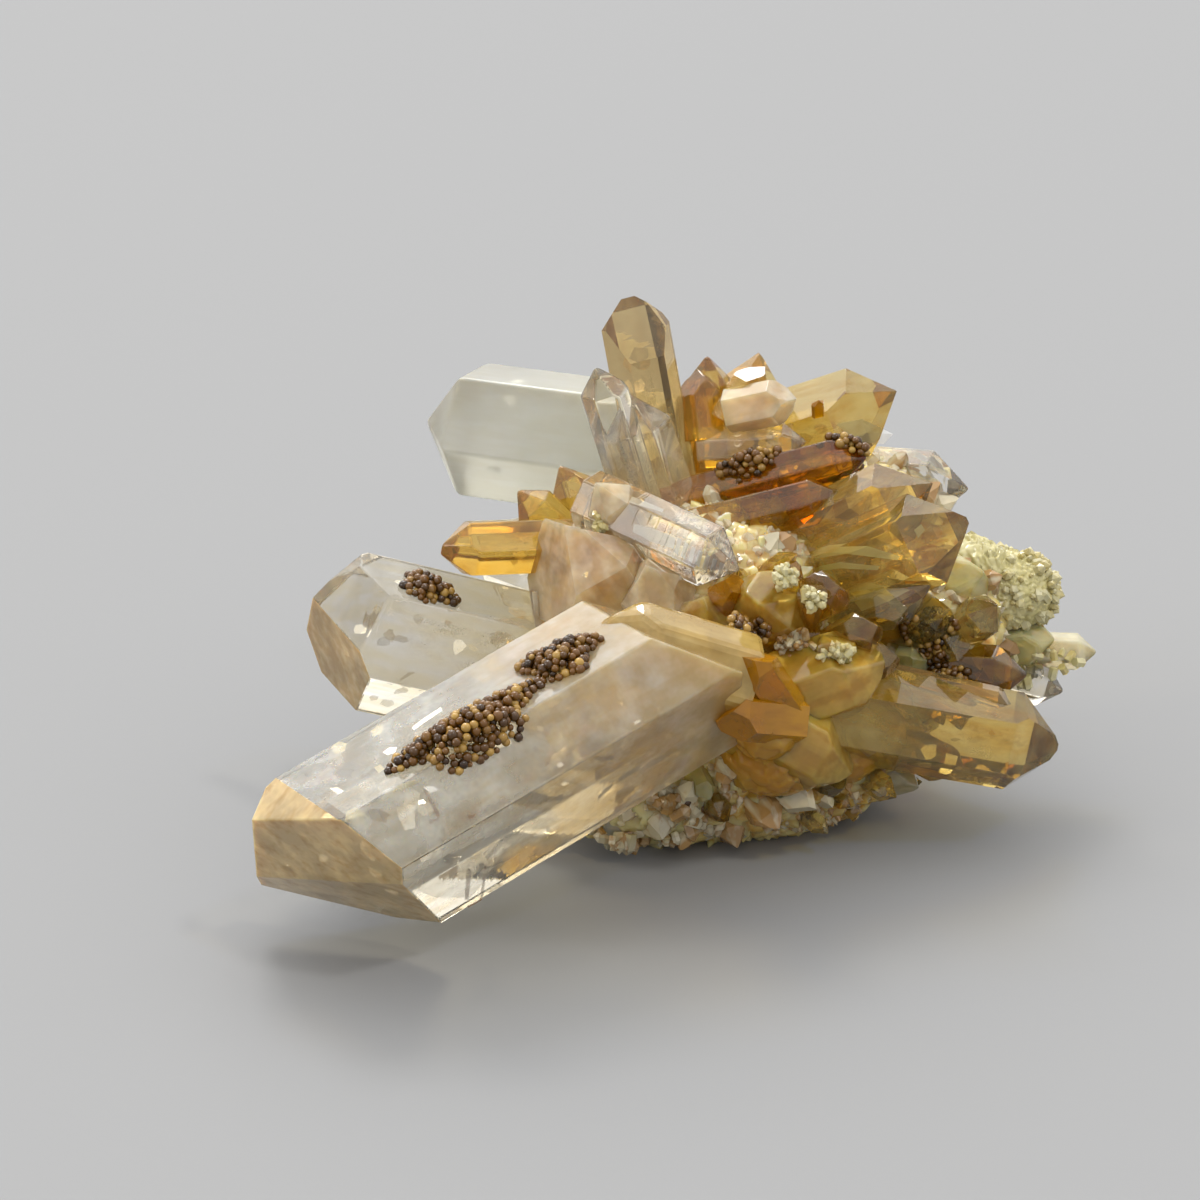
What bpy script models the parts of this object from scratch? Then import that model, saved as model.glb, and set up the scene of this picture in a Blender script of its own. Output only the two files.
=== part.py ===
# A cluster of mango quartz: one grown piece of quartz, with beaded crusts of a dark iron mineral on it.
# Lengths in the tables are millimetres. X runs to the right, Y away from the front, Z up, floor at Z = 0.
import math
import random

import bmesh
import bpy
from mathutils import Matrix, Vector, noise

MM = 0.001
ELEVATION = math.radians(22.0)
FRONT = Vector((0.0, -math.cos(ELEVATION), math.sin(ELEVATION)))
# A rhombohedral face of quartz leans this far from straight outwards to the crystal's tip.
FACE_LEAN = 38.2
FLOOR_BLOCK_DEPTH = 20.0
# The beaded crusts stand off the quartz by this gap.
CRUST_GAP = 0.3
# The middle of the whole piece before it is set over the origin.
MIDDLE = (1.37, -4.11)


def tip_faces(*drops, lean=FACE_LEAN):
    # six faces round the tip, each lowered along the axis by its drop
    return [(60 * k, lean, drop) for k, drop in enumerate(drops)]


# root and tip are on the axis. sides is the distance of each of the six prism faces from the axis, or the
# thickness from front to back and the width. The first face looks to the front, turned by roll.
# Each tip face is (its bearing from the first face, its lean towards the tip, its drop below the tip).
# A negative lean makes a face that narrows the crystal where it is rooted.
CRYSTALS = {
    "great": dict(
        root=(4.5, -7.1, 17.3), tip=(-26.2, -26.3, 5.9), sides=(8.3, 6.3, 5.8, 7.5, 6.0, 6.1),
        tips=[(-60, 64.5, 2.75), (60, 25, -9.9), (-87, 49, 2.55), (120, 35, -5.5), (180, 62, -7.5),
              (-120, 30, -3.4), (0, -50, 40.5), (-60, -45, 39.5), (60, -45, 35.0)]),
    "left clear": dict(
        root=(-6.0, 3.0, 9.0), tip=(-25.5, -3.0, 16.4), sides=(4.5, 4.6, 4.6, 4.0, 5.0, 5.0),
        tips=[(-78, 54, 0.9), (75, 50, -1.6), (20, 50, -0.4), (140, 38, -1.2), (-140, 45, -2)]),
    "amber left": dict(
        root=(-2.5, 2.0, 20.0), tip=(-16.6, -3.0, 21.4), sides=(3.4, 3.8), roll=25,
        tips=tip_faces(0, 0, 0.5, 0, 0, 0.3)),
    "pink": dict(
        root=(-1.0, 0.0, 10.5), tip=(-9.0, -4.0, 25.0), sides=(7.0, 9.0), roll=-8,
        tips=tip_faces(1, 0, 1.5, 0, 0, 2)),
    "pale tip": dict(
        root=(-1.5, 0.0, 19.5), tip=(-5.4, -3.0, 26.4), sides=(3.0, 3.2), tips=tip_faces(0, 0, 0, 0, 0, 0)),
    "tall": dict(
        root=(0.0, 9.0, 19.0), tip=(-3.1, 8.0, 37.0), sides=(4.2, 4.3), roll=10,
        tips=tip_faces(2.2, 0.6, 0, 0, 0, 0)),
    "front twin": dict(
        root=(-1.5, 4.0, 19.5), tip=(-5.4, 3.0, 32.9), sides=(3.0, 3.0), tips=tip_faces(0, 0.4, 0, 0, 0, 0)),
    "clear step": dict(
        root=(0.5, 5.0, 18.0), tip=(-3.5, 5.0, 30.4), sides=(4.4, 4.6), roll=-10,
        tips=tip_faces(0, 0, 0, 0, 0, 0)),
    "back milky": dict(
        root=(-1.0, 12.0, 23.0), tip=(-18.4, 20.0, 22.6), sides=(8.0, 9.2), roll=10,
        tips=[(0, 45, 0), (60, 50, 0.5), (120, 45, 0), (180, 45, 0), (-120, 45, 0), (-60, 50, 0.5)]),
    "bright": dict(
        root=(-6.0, 0.0, 24.0), tip=(4.6, -7.0, 21.4), sides=(3.8, 4.0), roll=20,
        tips=tip_faces(0, 0, 0, 0, 0, 0)),
    "small amber": dict(
        root=(-6.0, 3.0, 18.5), tip=(-11.0, 3.0, 23.6), sides=(2.6, 2.8), tips=tip_faces(0, 0, 0, 0, 0, 0)),
    "small dark amber": dict(
        root=(-4.5, 5.0, 17.5), tip=(-8.0, 6.0, 24.4), sides=(3.4, 3.4), roll=20,
        tips=tip_faces(0, 0, 0, 0, 0, 0)),
    "right top": dict(
        root=(4.5, 14.0, 22.0), tip=(17.5, 11.0, 27.6), sides=(7.0, 6.0), roll=10,
        tips=tip_faces(1, 0, 2, 0, 0, 0)),
    "yellow upright": dict(
        root=(4.5, 12.0, 21.0), tip=(6.6, 13.0, 30.6), sides=(4.5, 4.5), tips=tip_faces(0, 0, 0.5, 0, 0, 0)),
    "orange upright": dict(
        root=(3.0, 11.0, 21.5), tip=(2.6, 12.0, 30.6), sides=(3.2, 3.2), roll=15,
        tips=tip_faces(0, 0, 0, 0, 0, 0)),
    "clear block": dict(
        root=(2.0, 9.0, 24.5), tip=(9.8, 8.0, 25.4), sides=(3.0, 2.6), roll=10,
        tips=tip_faces(0, 0, 0, 0, 0, 0)),
    "deep amber": dict(
        root=(-1.0, 6.0, 21.0), tip=(13.9, 4.0, 25.8), sides=(3.4, 3.4), tips=tip_faces(0, 0, 0, 0, 0, 0)),
    "golden": dict(
        root=(0.0, 3.0, 20.0), tip=(12.0, 1.0, 24.0), sides=(3.4, 3.2), roll=10,
        tips=tip_faces(0, 0, 0, 0, 0, 0)),
    "tan": dict(
        root=(3.5, 4.0, 16.0), tip=(18.1, -1.0, 25.6), sides=(4.0, 4.2), tips=tip_faces(0, 0, 0, 0, 0, 0)),
    "tan window": dict(
        root=(7.0, 2.0, 15.0), tip=(20.6, -4.0, 24.1), sides=(4.4, 5.2), tips=tip_faces(1, 0, 0, 0, 0, 0)),
    "white facet": dict(
        root=(6.5, 2.0, 12.5), tip=(18.0, -4.0, 19.2), sides=(4.0, 3.4), roll=10,
        tips=tip_faces(0, 0, 0, 0, 0, 0)),
    "right clear": dict(
        root=(12.5, 12.0, 21.0), tip=(21.6, 9.0, 21.4), sides=(4.4, 4.6), tips=tip_faces(0, 0, 0, 0, 0, 0)),
    "finger": dict(
        root=(22.0, 6.0, 10.2), tip=(31.0, 6.0, 9.9), sides=(2.4, 2.4), tips=tip_faces(0, 0, 0, 0, 0, 0)),
    "tan nub": dict(
        root=(18.5, 2.0, 11.5), tip=(22.7, -3.0, 17.3), sides=(2.6, 2.8), tips=tip_faces(0, 0, 0, 0, 0, 0)),
    "amber brown": dict(
        root=(12.5, 1.0, 11.0), tip=(25.1, -3.0, 11.9), sides=(3.4, 3.6), tips=tip_faces(0, 0, 0, 0, 0, 0)),
    "right low": dict(
        root=(8.5, 2.0, 8.5), tip=(27.9, -4.0, 6.5), sides=(5.5, 6.0), roll=10,
        tips=tip_faces(1, 0, 0, 0, 0, 0)),
    "right pale": dict(
        root=(21.0, 6.0, 9.2), tip=(28.6, 5.0, 7.2), sides=(3.4, 3.4), roll=10,
        tips=tip_faces(0, 0, 0, 0, 0, 0)),
    "saddle": dict(
        root=(7.0, -5.0, 11.5), tip=(-6.6, -11.0, 20.3), sides=(4.6, 5.0), roll=10,
        tips=tip_faces(1.5, 0, 0, 0, 0, 0)),
    "orange heart": dict(
        root=(11.0, 0.0, 12.0), tip=(3.6, -13.2, 13.6), sides=(7.4, 7.0), roll=12,
        tips=tip_faces(1.4, 0, 1.0, 0, 0, 0.6)),
    "pink wedge": dict(
        root=(9.0, 0.0, 14.0), tip=(5.2, -9.5, 20.6), sides=(4.6, 4.6), roll=24,
        tips=tip_faces(0, 0.8, 0, 0, 0.5, 0)),
    "foot crystal": dict(
        root=(10.0, 2.0, 6.0), tip=(17.6, -4.2, 3.4), sides=(5.4, 5.6), roll=18,
        tips=tip_faces(0, 0.6, 0, 0, 0, 0)),
    "foot spike": dict(
        root=(-3.0, -4.0, 5.0), tip=(-4.6, -8.8, 0.9), sides=(2.6, 2.6), tips=tip_faces(0, 0, 0, 0, 0, 0)),
    "back left": dict(
        root=(-2.0, 7.0, 13.0), tip=(-15.5, 18.0, 14.0), sides=(6.5, 7.0), roll=5,
        tips=tip_faces(0, 1, 0, 2, 0, 1)),
    "back middle": dict(
        root=(3.0, 7.0, 15.0), tip=(1.5, 21.0, 20.5), sides=(7.0, 6.5), tips=tip_faces(0, 1.5, 0, 0.5, 2, 0)),
    "back right": dict(
        root=(9.0, 8.0, 13.0), tip=(19.5, 19.5, 15.5), sides=(6.0, 6.4), roll=14,
        tips=tip_faces(0, 0, 1, 0, 0.5, 0)),
    "back low": dict(
        root=(4.0, 6.0, 8.0), tip=(7.5, 20.5, 7.0), sides=(5.6, 6.0), roll=8, tips=tip_faces(0, 0, 0, 1, 0, 0)),
    "back low left": dict(
        root=(-4.0, 4.0, 8.0), tip=(-15.0, 11.0, 6.0), sides=(5.0, 5.0), roll=8,
        tips=tip_faces(0, 0, 0, 1, 0, 0)),
}

# The milky root that the crystals stand on: ellipsoids with their middle and half sizes.
ROOT_LUMPS = [
    ((3.5, 1.5, 6.0), (14.0, 10.5, 8.5)),
    ((4.0, 3.0, 14.0), (11.5, 9.5, 9.0)),
    ((17.5, 3.0, 13.0), (6.5, 5.5, 6.0)),
    ((13.0, 9.0, 18.0), (8.0, 6.0, 6.5)),
    ((6.0, -3.5, 12.0), (9.0, 7.5, 8.0)),
    ((-1.0, -2.5, 4.4), (8.5, 6.6, 4.6)),
]
ROOT_LUMP_ROUGHNESS = 1.1
ROOT_LUMP_GRAIN = 4.0

# Small crystals over the root: how many, their lengths above the root and their widths.
DRUSE_COUNT = 160
DRUSE_LENGTH = (0.8, 3.0)
DRUSE_WIDTH = (1.8, 3.9)
DRUSE_SEED = 11

# Each beaded crust: its middle on the quartz, the way it faces, half its length and width, the way its
# length runs, its bead count and bead diameter.
CRUSTS = {
    "bead_crust_great_long": dict(
        middle=(-14.2, -23.8, 16.4), facing=(-0.28, -0.12, 0.95), half=(5.2, 2.2), along=(0.81, 0.5, 0.3),
        beads=15, size=2.0),
    "bead_crust_great_round": dict(
        middle=(-7.3, -17.8, 19.1), facing=(-0.28, -0.12, 0.95), half=(2.8, 2.2), along=(0.81, 0.5, 0.3),
        beads=9, size=1.9),
    "bead_crust_left": dict(
        middle=(-17.1, -2.4, 18.1), facing=(0.3, -0.13, 0.94), half=(2.0, 1.4), along=(1, 0.2, -0.2),
        beads=7, size=1.7),
    "bead_crust_foot": dict(
        middle=(1.0, -9.0, 4.2), facing=(0, -0.9, 0.4), half=(1.2, 0.9), along=(1, 0, 0), beads=4, size=1.5),
    "bead_crust_right": dict(
        middle=(18.2, -2.6, 14.6), facing=(-0.1, -0.9, 0.45), half=(1.8, 1.7), along=(0, 0.4, 1),
        beads=9, size=1.9),
    "bead_crust_right_low": dict(
        middle=(19.2, -3.6, 11.6), facing=(-0.2, -0.88, 0.4), half=(1.7, 1.0), along=(1, 0, 0),
        beads=6, size=1.5),
    "bead_crust_trough": dict(
        middle=(5.5, 4.6, 24.8), facing=(-0.2, -0.3, 0.93), half=(2.2, 1.0), along=(1, 0, 0.25),
        beads=6, size=1.6),
    "bead_crust_trough_right": dict(
        middle=(13.2, 4.8, 26.4), facing=(0.2, -0.6, 0.8), half=(2.0, 1.0), along=(1, 0, 0.1),
        beads=6, size=1.6),
    "bead_crust_middle": dict(
        middle=(5.2, -10.6, 18.8), facing=(0.2, -0.8, 0.56), half=(1.7, 0.9), along=(1, 0.3, -0.2),
        beads=5, size=1.5),
}
CRUST_SEED = 8


def clear_scene():
    for thing in list(bpy.data.objects):
        bpy.data.objects.remove(thing, do_unlink=True)


def make_collection(name):
    collection = bpy.data.collections.new(name)
    bpy.context.scene.collection.children.link(collection)
    return collection


def make_material(name, colour, roughness):
    material = bpy.data.materials.new(name)
    material.use_nodes = True
    shader = material.node_tree.nodes["Principled BSDF"]
    shader.inputs["Base Color"].default_value = (*colour, 1.0)
    shader.inputs["Roughness"].default_value = roughness
    shader.inputs["Metallic"].default_value = 0.0
    material.diffuse_color = (*colour, 1.0)
    return material


def mesh_object(name, mesh_data, collection):
    thing = bpy.data.objects.new(name, mesh_data)
    collection.objects.link(thing)
    return thing


def crystal_planes(crystal, grow):
    # the outward direction of each face and its distance from the origin
    root = Vector(crystal["root"])
    tip = Vector(crystal["tip"])
    axis = (tip - root).normalized()
    front = (FRONT - axis * FRONT.dot(axis)).normalized()
    side = axis.cross(front)
    sides = crystal["sides"]
    if len(sides) == 2:
        thick, width = sides
        bearings = [math.radians(60 * k) for k in range(6)]
        sides = [math.hypot(thick / 2 * math.cos(b), width / 2 * math.sin(b)) for b in bearings]
    roll = crystal.get("roll", 0)
    planes = []
    for k, distance in enumerate(sides):
        bearing = math.radians(roll + 60 * k)
        outward = front * math.cos(bearing) + side * math.sin(bearing)
        planes.append((outward, outward.dot(root) + distance + grow))
    for turn, lean, drop in crystal["tips"]:
        bearing = math.radians(roll + turn)
        outward = front * math.cos(bearing) + side * math.sin(bearing)
        outward = outward * math.cos(math.radians(lean)) + axis * math.sin(math.radians(lean))
        planes.append((outward, outward.dot(tip - axis * drop) + grow))
    return root, axis, planes


def cut_blank(blank, planes):
    # cuts a closed convex mesh by each plane in turn and closes the cut
    for outward, distance in planes:
        cut = bmesh.ops.bisect_plane(
            blank, geom=blank.verts[:] + blank.edges[:] + blank.faces[:], dist=1e-6,
            plane_co=outward * distance, plane_no=outward, clear_outer=True)
        rim = [e for e in cut["geom_cut"] if isinstance(e, bmesh.types.BMEdge)]
        if rim:
            bmesh.ops.contextual_create(blank, geom=rim)


def crystal_mesh(name, crystal, grow=0.0):
    # a hexagonal rod along the axis, cut by its six sides and its tip faces
    root, axis, planes = crystal_planes(crystal, grow)
    length = (Vector(crystal["tip"]) - root).length
    blank = bmesh.new()
    reach = length * 2 + 30
    turn = Vector((0, 0, 1)).rotation_difference(axis).to_matrix().to_4x4()
    place = Matrix.Translation(root + axis * (reach / 2 - grow)) @ turn
    bmesh.ops.create_cone(blank, cap_ends=True, segments=6, radius1=30, radius2=30, depth=reach, matrix=place)
    cut_blank(blank, planes)
    return finished_mesh(name, blank)


def finished_mesh(name, shape):
    # merges stray points, points the faces outwards and turns millimetres into metres over the origin
    bmesh.ops.remove_doubles(shape, verts=shape.verts, dist=0.002)
    bmesh.ops.recalc_face_normals(shape, faces=shape.faces)
    bmesh.ops.translate(shape, verts=shape.verts, vec=(-MIDDLE[0], -MIDDLE[1], 0))
    bmesh.ops.scale(shape, verts=shape.verts, vec=(MM, MM, MM))
    mesh_data = bpy.data.meshes.new(name)
    shape.to_mesh(mesh_data)
    shape.free()
    return mesh_data


def root_lump_mesh(name, middle, half, grow=0.0):
    # an ellipsoid pushed in and out by smooth noise
    shape = bmesh.new()
    bmesh.ops.create_icosphere(shape, subdivisions=2, radius=1.0)
    for point in shape.verts:
        direction = point.co.normalized()
        place = Vector([m + d * h for m, d, h in zip(middle, direction, half)])
        swell = noise.noise(place / ROOT_LUMP_GRAIN) * ROOT_LUMP_ROUGHNESS + grow
        point.co = place + direction * swell
    return finished_mesh(name, shape)


def floor_cutter_mesh():
    # a block whose top is the floor
    block = bmesh.new()
    bmesh.ops.create_cube(block, size=1.0)
    bmesh.ops.scale(block, verts=block.verts, vec=(120, 120, FLOOR_BLOCK_DEPTH))
    bmesh.ops.translate(block, verts=block.verts, vec=(0, 0, -FLOOR_BLOCK_DEPTH / 2))
    return finished_mesh("floor block", block)


def druse_crystals():
    # small crystals spread over the outside of the root lumps by the golden angle, standing outwards
    chance = random.Random(DRUSE_SEED)
    made = {}
    golden = math.pi * (3 - math.sqrt(5))
    for index in range(DRUSE_COUNT):
        middle, half = ROOT_LUMPS[index % len(ROOT_LUMPS)]
        height = 1 - 2 * (index + 0.5) / DRUSE_COUNT
        ring = math.sqrt(1 - height * height)
        outward = Vector((ring * math.cos(golden * index), ring * math.sin(golden * index), height))
        foot = Vector([m + o * h for m, o, h in zip(middle, outward, half)])
        lean = Vector([chance.uniform(-0.5, 0.5) for _ in range(3)])
        length = chance.uniform(*DRUSE_LENGTH)
        width = chance.uniform(*DRUSE_WIDTH)
        turn = chance.uniform(0, 60)
        if foot.z < 2.2:
            continue
        direction = Vector([o / h for o, h in zip(outward, half)]).normalized()
        direction = (direction + lean).normalized()
        made["druse %02d" % index] = dict(
            root=foot - direction * 2.5, tip=foot + direction * length, sides=(width, width), roll=turn,
            tips=tip_faces(0, 0.3, 0, 0.2, 0, 0.1))
    return made


def join(name, pieces, collection, cutters):
    # one solid from many overlapping closed meshes, by Boolean union
    body = mesh_object(name, pieces[0], collection)
    for mesh_data in pieces[1:]:
        guide = mesh_object(mesh_data.name, mesh_data, cutters)
        guide.hide_render = True
        guide.display_type = "WIRE"
        union = body.modifiers.new("join " + mesh_data.name, "BOOLEAN")
        union.operation = "UNION"
        union.solver = "EXACT"
        union.object = guide
    return body


def cut(body, label, mesh_data, cutters):
    # takes a closed mesh away from a body
    guide = mesh_object(mesh_data.name, mesh_data, cutters)
    guide.hide_render = True
    guide.display_type = "WIRE"
    difference = body.modifiers.new(label, "BOOLEAN")
    difference.operation = "DIFFERENCE"
    difference.solver = "EXACT"
    difference.object = guide


def settled_mesh(thing):
    # the evaluated mesh of an object, kept as plain mesh data, with its loose bodies but the largest removed
    bpy.context.view_layer.update()
    graph = bpy.context.evaluated_depsgraph_get()
    mesh_data = bpy.data.meshes.new_from_object(thing.evaluated_get(graph))
    shape = bmesh.new()
    shape.from_mesh(mesh_data)
    bmesh.ops.remove_doubles(shape, verts=shape.verts, dist=1e-7)
    bodies = []
    seen = set()
    for start in shape.verts:
        if start in seen:
            continue
        body = [start]
        seen.add(start)
        for point in body:
            for edge in point.link_edges:
                other = edge.other_vert(point)
                if other not in seen:
                    seen.add(other)
                    body.append(other)
        bodies.append(body)
    bodies.sort(key=len)
    for body in bodies[:-1]:
        bmesh.ops.delete(shape, geom=body, context="VERTS")
    bmesh.ops.triangulate(shape, faces=shape.faces)
    shape.to_mesh(mesh_data)
    shape.free()
    return mesh_data


def crust_pieces(name, crust):
    # a low dome with beads crowded over it
    chance = random.Random(CRUST_SEED + len(name))
    facing = Vector(crust["facing"]).normalized()
    along = Vector(crust["along"])
    along = (along - facing * along.dot(facing)).normalized()
    across = facing.cross(along)
    middle = Vector(crust["middle"])
    long_half, short_half = crust["half"]
    bead = crust["size"] / 2
    frame = Matrix((along, across, facing)).transposed().to_4x4()
    dome = bmesh.new()
    place = Matrix.Translation(middle) @ frame @ Matrix.Diagonal((long_half, short_half, bead * 1.1, 1))
    bmesh.ops.create_icosphere(dome, subdivisions=2, radius=1.0, matrix=place)
    pieces = [finished_mesh(name + " dome", dome)]
    golden = math.pi * (3 - math.sqrt(5))
    for index in range(crust["beads"]):
        out = math.sqrt((index + 0.5) / crust["beads"])
        spot = middle + along * (long_half * out * math.cos(golden * index))
        spot += across * (short_half * out * math.sin(golden * index))
        spot += facing * (bead * (0.75 - 0.5 * out) + chance.uniform(0, 0.25))
        size = bead * chance.uniform(0.8, 1.1)
        ball = bmesh.new()
        turn = Matrix.Rotation(chance.uniform(0, 6.28), 4, Vector((chance.random(), 1, chance.random())))
        bmesh.ops.create_icosphere(
            ball, subdivisions=1, radius=size, matrix=Matrix.Translation(spot) @ turn)
        pieces.append(finished_mesh("%s bead %02d" % (name, index), ball))
    return pieces


def quartz_pieces(label, grow=0.0):
    pieces = [
        root_lump_mesh("%s root %d" % (label, k), middle, half, grow)
        for k, (middle, half) in enumerate(ROOT_LUMPS)]
    crystals = dict(CRYSTALS)
    crystals.update(druse_crystals())
    for name, crystal in crystals.items():
        pieces.append(crystal_mesh("%s %s" % (label, name), crystal, grow))
    return pieces


def main():
    clear_scene()
    parts = make_collection("mango_quartz_cluster")
    cutters = make_collection("cutters")
    quartz_look = make_material("golden quartz", (0.72, 0.58, 0.38), 0.12)
    bead_look = make_material("brown iron beads", (0.16, 0.10, 0.05), 0.45)

    cluster = join("quartz_cluster", quartz_pieces("quartz"), parts, cutters)
    cut(cluster, "stand flat", floor_cutter_mesh(), cutters)
    cluster_mesh = settled_mesh(cluster)
    cluster.modifiers.clear()
    cluster.data = cluster_mesh
    cluster.data.materials.clear()
    cluster.data.materials.append(quartz_look)

    clearance = join("quartz clearance", quartz_pieces("clearance", CRUST_GAP), cutters, cutters)
    clearance_mesh = settled_mesh(clearance)
    clearance.modifiers.clear()
    clearance.data = clearance_mesh
    clearance.hide_render = True
    clearance.display_type = "WIRE"

    for name, crust in CRUSTS.items():
        body = join(name, crust_pieces(name, crust), parts, cutters)
        trim = body.modifiers.new("stand off the quartz", "BOOLEAN")
        trim.operation = "DIFFERENCE"
        trim.solver = "EXACT"
        trim.object = clearance
        mesh_data = settled_mesh(body)
        body.modifiers.clear()
        body.data = mesh_data
        body.data.materials.clear()
        body.data.materials.append(bead_look)


main()
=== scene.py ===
# Mango quartz cluster: the looks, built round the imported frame.
import itertools
import math
import random

import bpy
import numpy as np
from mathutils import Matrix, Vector
from mathutils.bvhtree import BVHTree


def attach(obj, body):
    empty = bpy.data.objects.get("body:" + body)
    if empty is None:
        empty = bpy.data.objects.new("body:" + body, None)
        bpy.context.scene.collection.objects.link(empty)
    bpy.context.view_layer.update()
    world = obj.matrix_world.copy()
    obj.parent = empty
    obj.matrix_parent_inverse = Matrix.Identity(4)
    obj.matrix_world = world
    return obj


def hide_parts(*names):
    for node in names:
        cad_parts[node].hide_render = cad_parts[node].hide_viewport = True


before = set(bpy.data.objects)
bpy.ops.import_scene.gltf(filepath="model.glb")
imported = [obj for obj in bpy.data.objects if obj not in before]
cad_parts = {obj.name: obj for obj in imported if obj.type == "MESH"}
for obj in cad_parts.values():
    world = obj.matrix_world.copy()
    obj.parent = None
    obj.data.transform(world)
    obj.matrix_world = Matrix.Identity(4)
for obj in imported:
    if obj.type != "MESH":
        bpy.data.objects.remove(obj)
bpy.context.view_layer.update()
print("frame loaded")

mm = 0.001
middle = np.array((1.37, -4.11, 0.0))  # the middle of the layout below, which is set over the origin
frontElevation = math.radians(22.0)
front = np.array((0.0, -math.cos(frontElevation), math.sin(frontElevation)))
faceLean = 38.2  # a rhombohedral face of quartz leans this far towards the tip
goldenAngle = math.pi * (3 - math.sqrt(5))
noiseStart = (-500, 500)  # each part's noise starts somewhere in this range, so no two look alike
view = dict(lens=135.0, sensor=36.0, distance=318.0, target=(-5.1, 0.0, 16.4), frame=1200)
eye = np.array(view["target"]) + front * view["distance"]


def fromPixel(x, y, depth):
    # the point seen at a pixel of the frame, where the line of sight reaches the layout's Y = depth
    right = np.array((1.0, 0.0, 0.0))
    up = np.cross(right, -front)
    scale = view["sensor"] / view["lens"] / view["frame"]
    sight = -front + right * (x - view["frame"] / 2) * scale - up * (y - view["frame"] / 2) * scale
    return eye + sight * (depth - eye[1]) / sight[1]


def unit(ways):
    # one way, or each row of several, at length 1
    return ways / (np.linalg.norm(ways) if ways.ndim == 1 else np.linalg.norm(ways, axis=1)[:, None])


def spreadWays(count):
    # ways spread evenly over a ball: even steps in height, each turned on by the golden angle
    step = np.arange(count)
    height = 1 - 2 * (step + 0.5) / count
    ring = np.sqrt(1 - height ** 2)
    return np.stack((ring * np.cos(goldenAngle * step), ring * np.sin(goldenAngle * step), height), 1)


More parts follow.
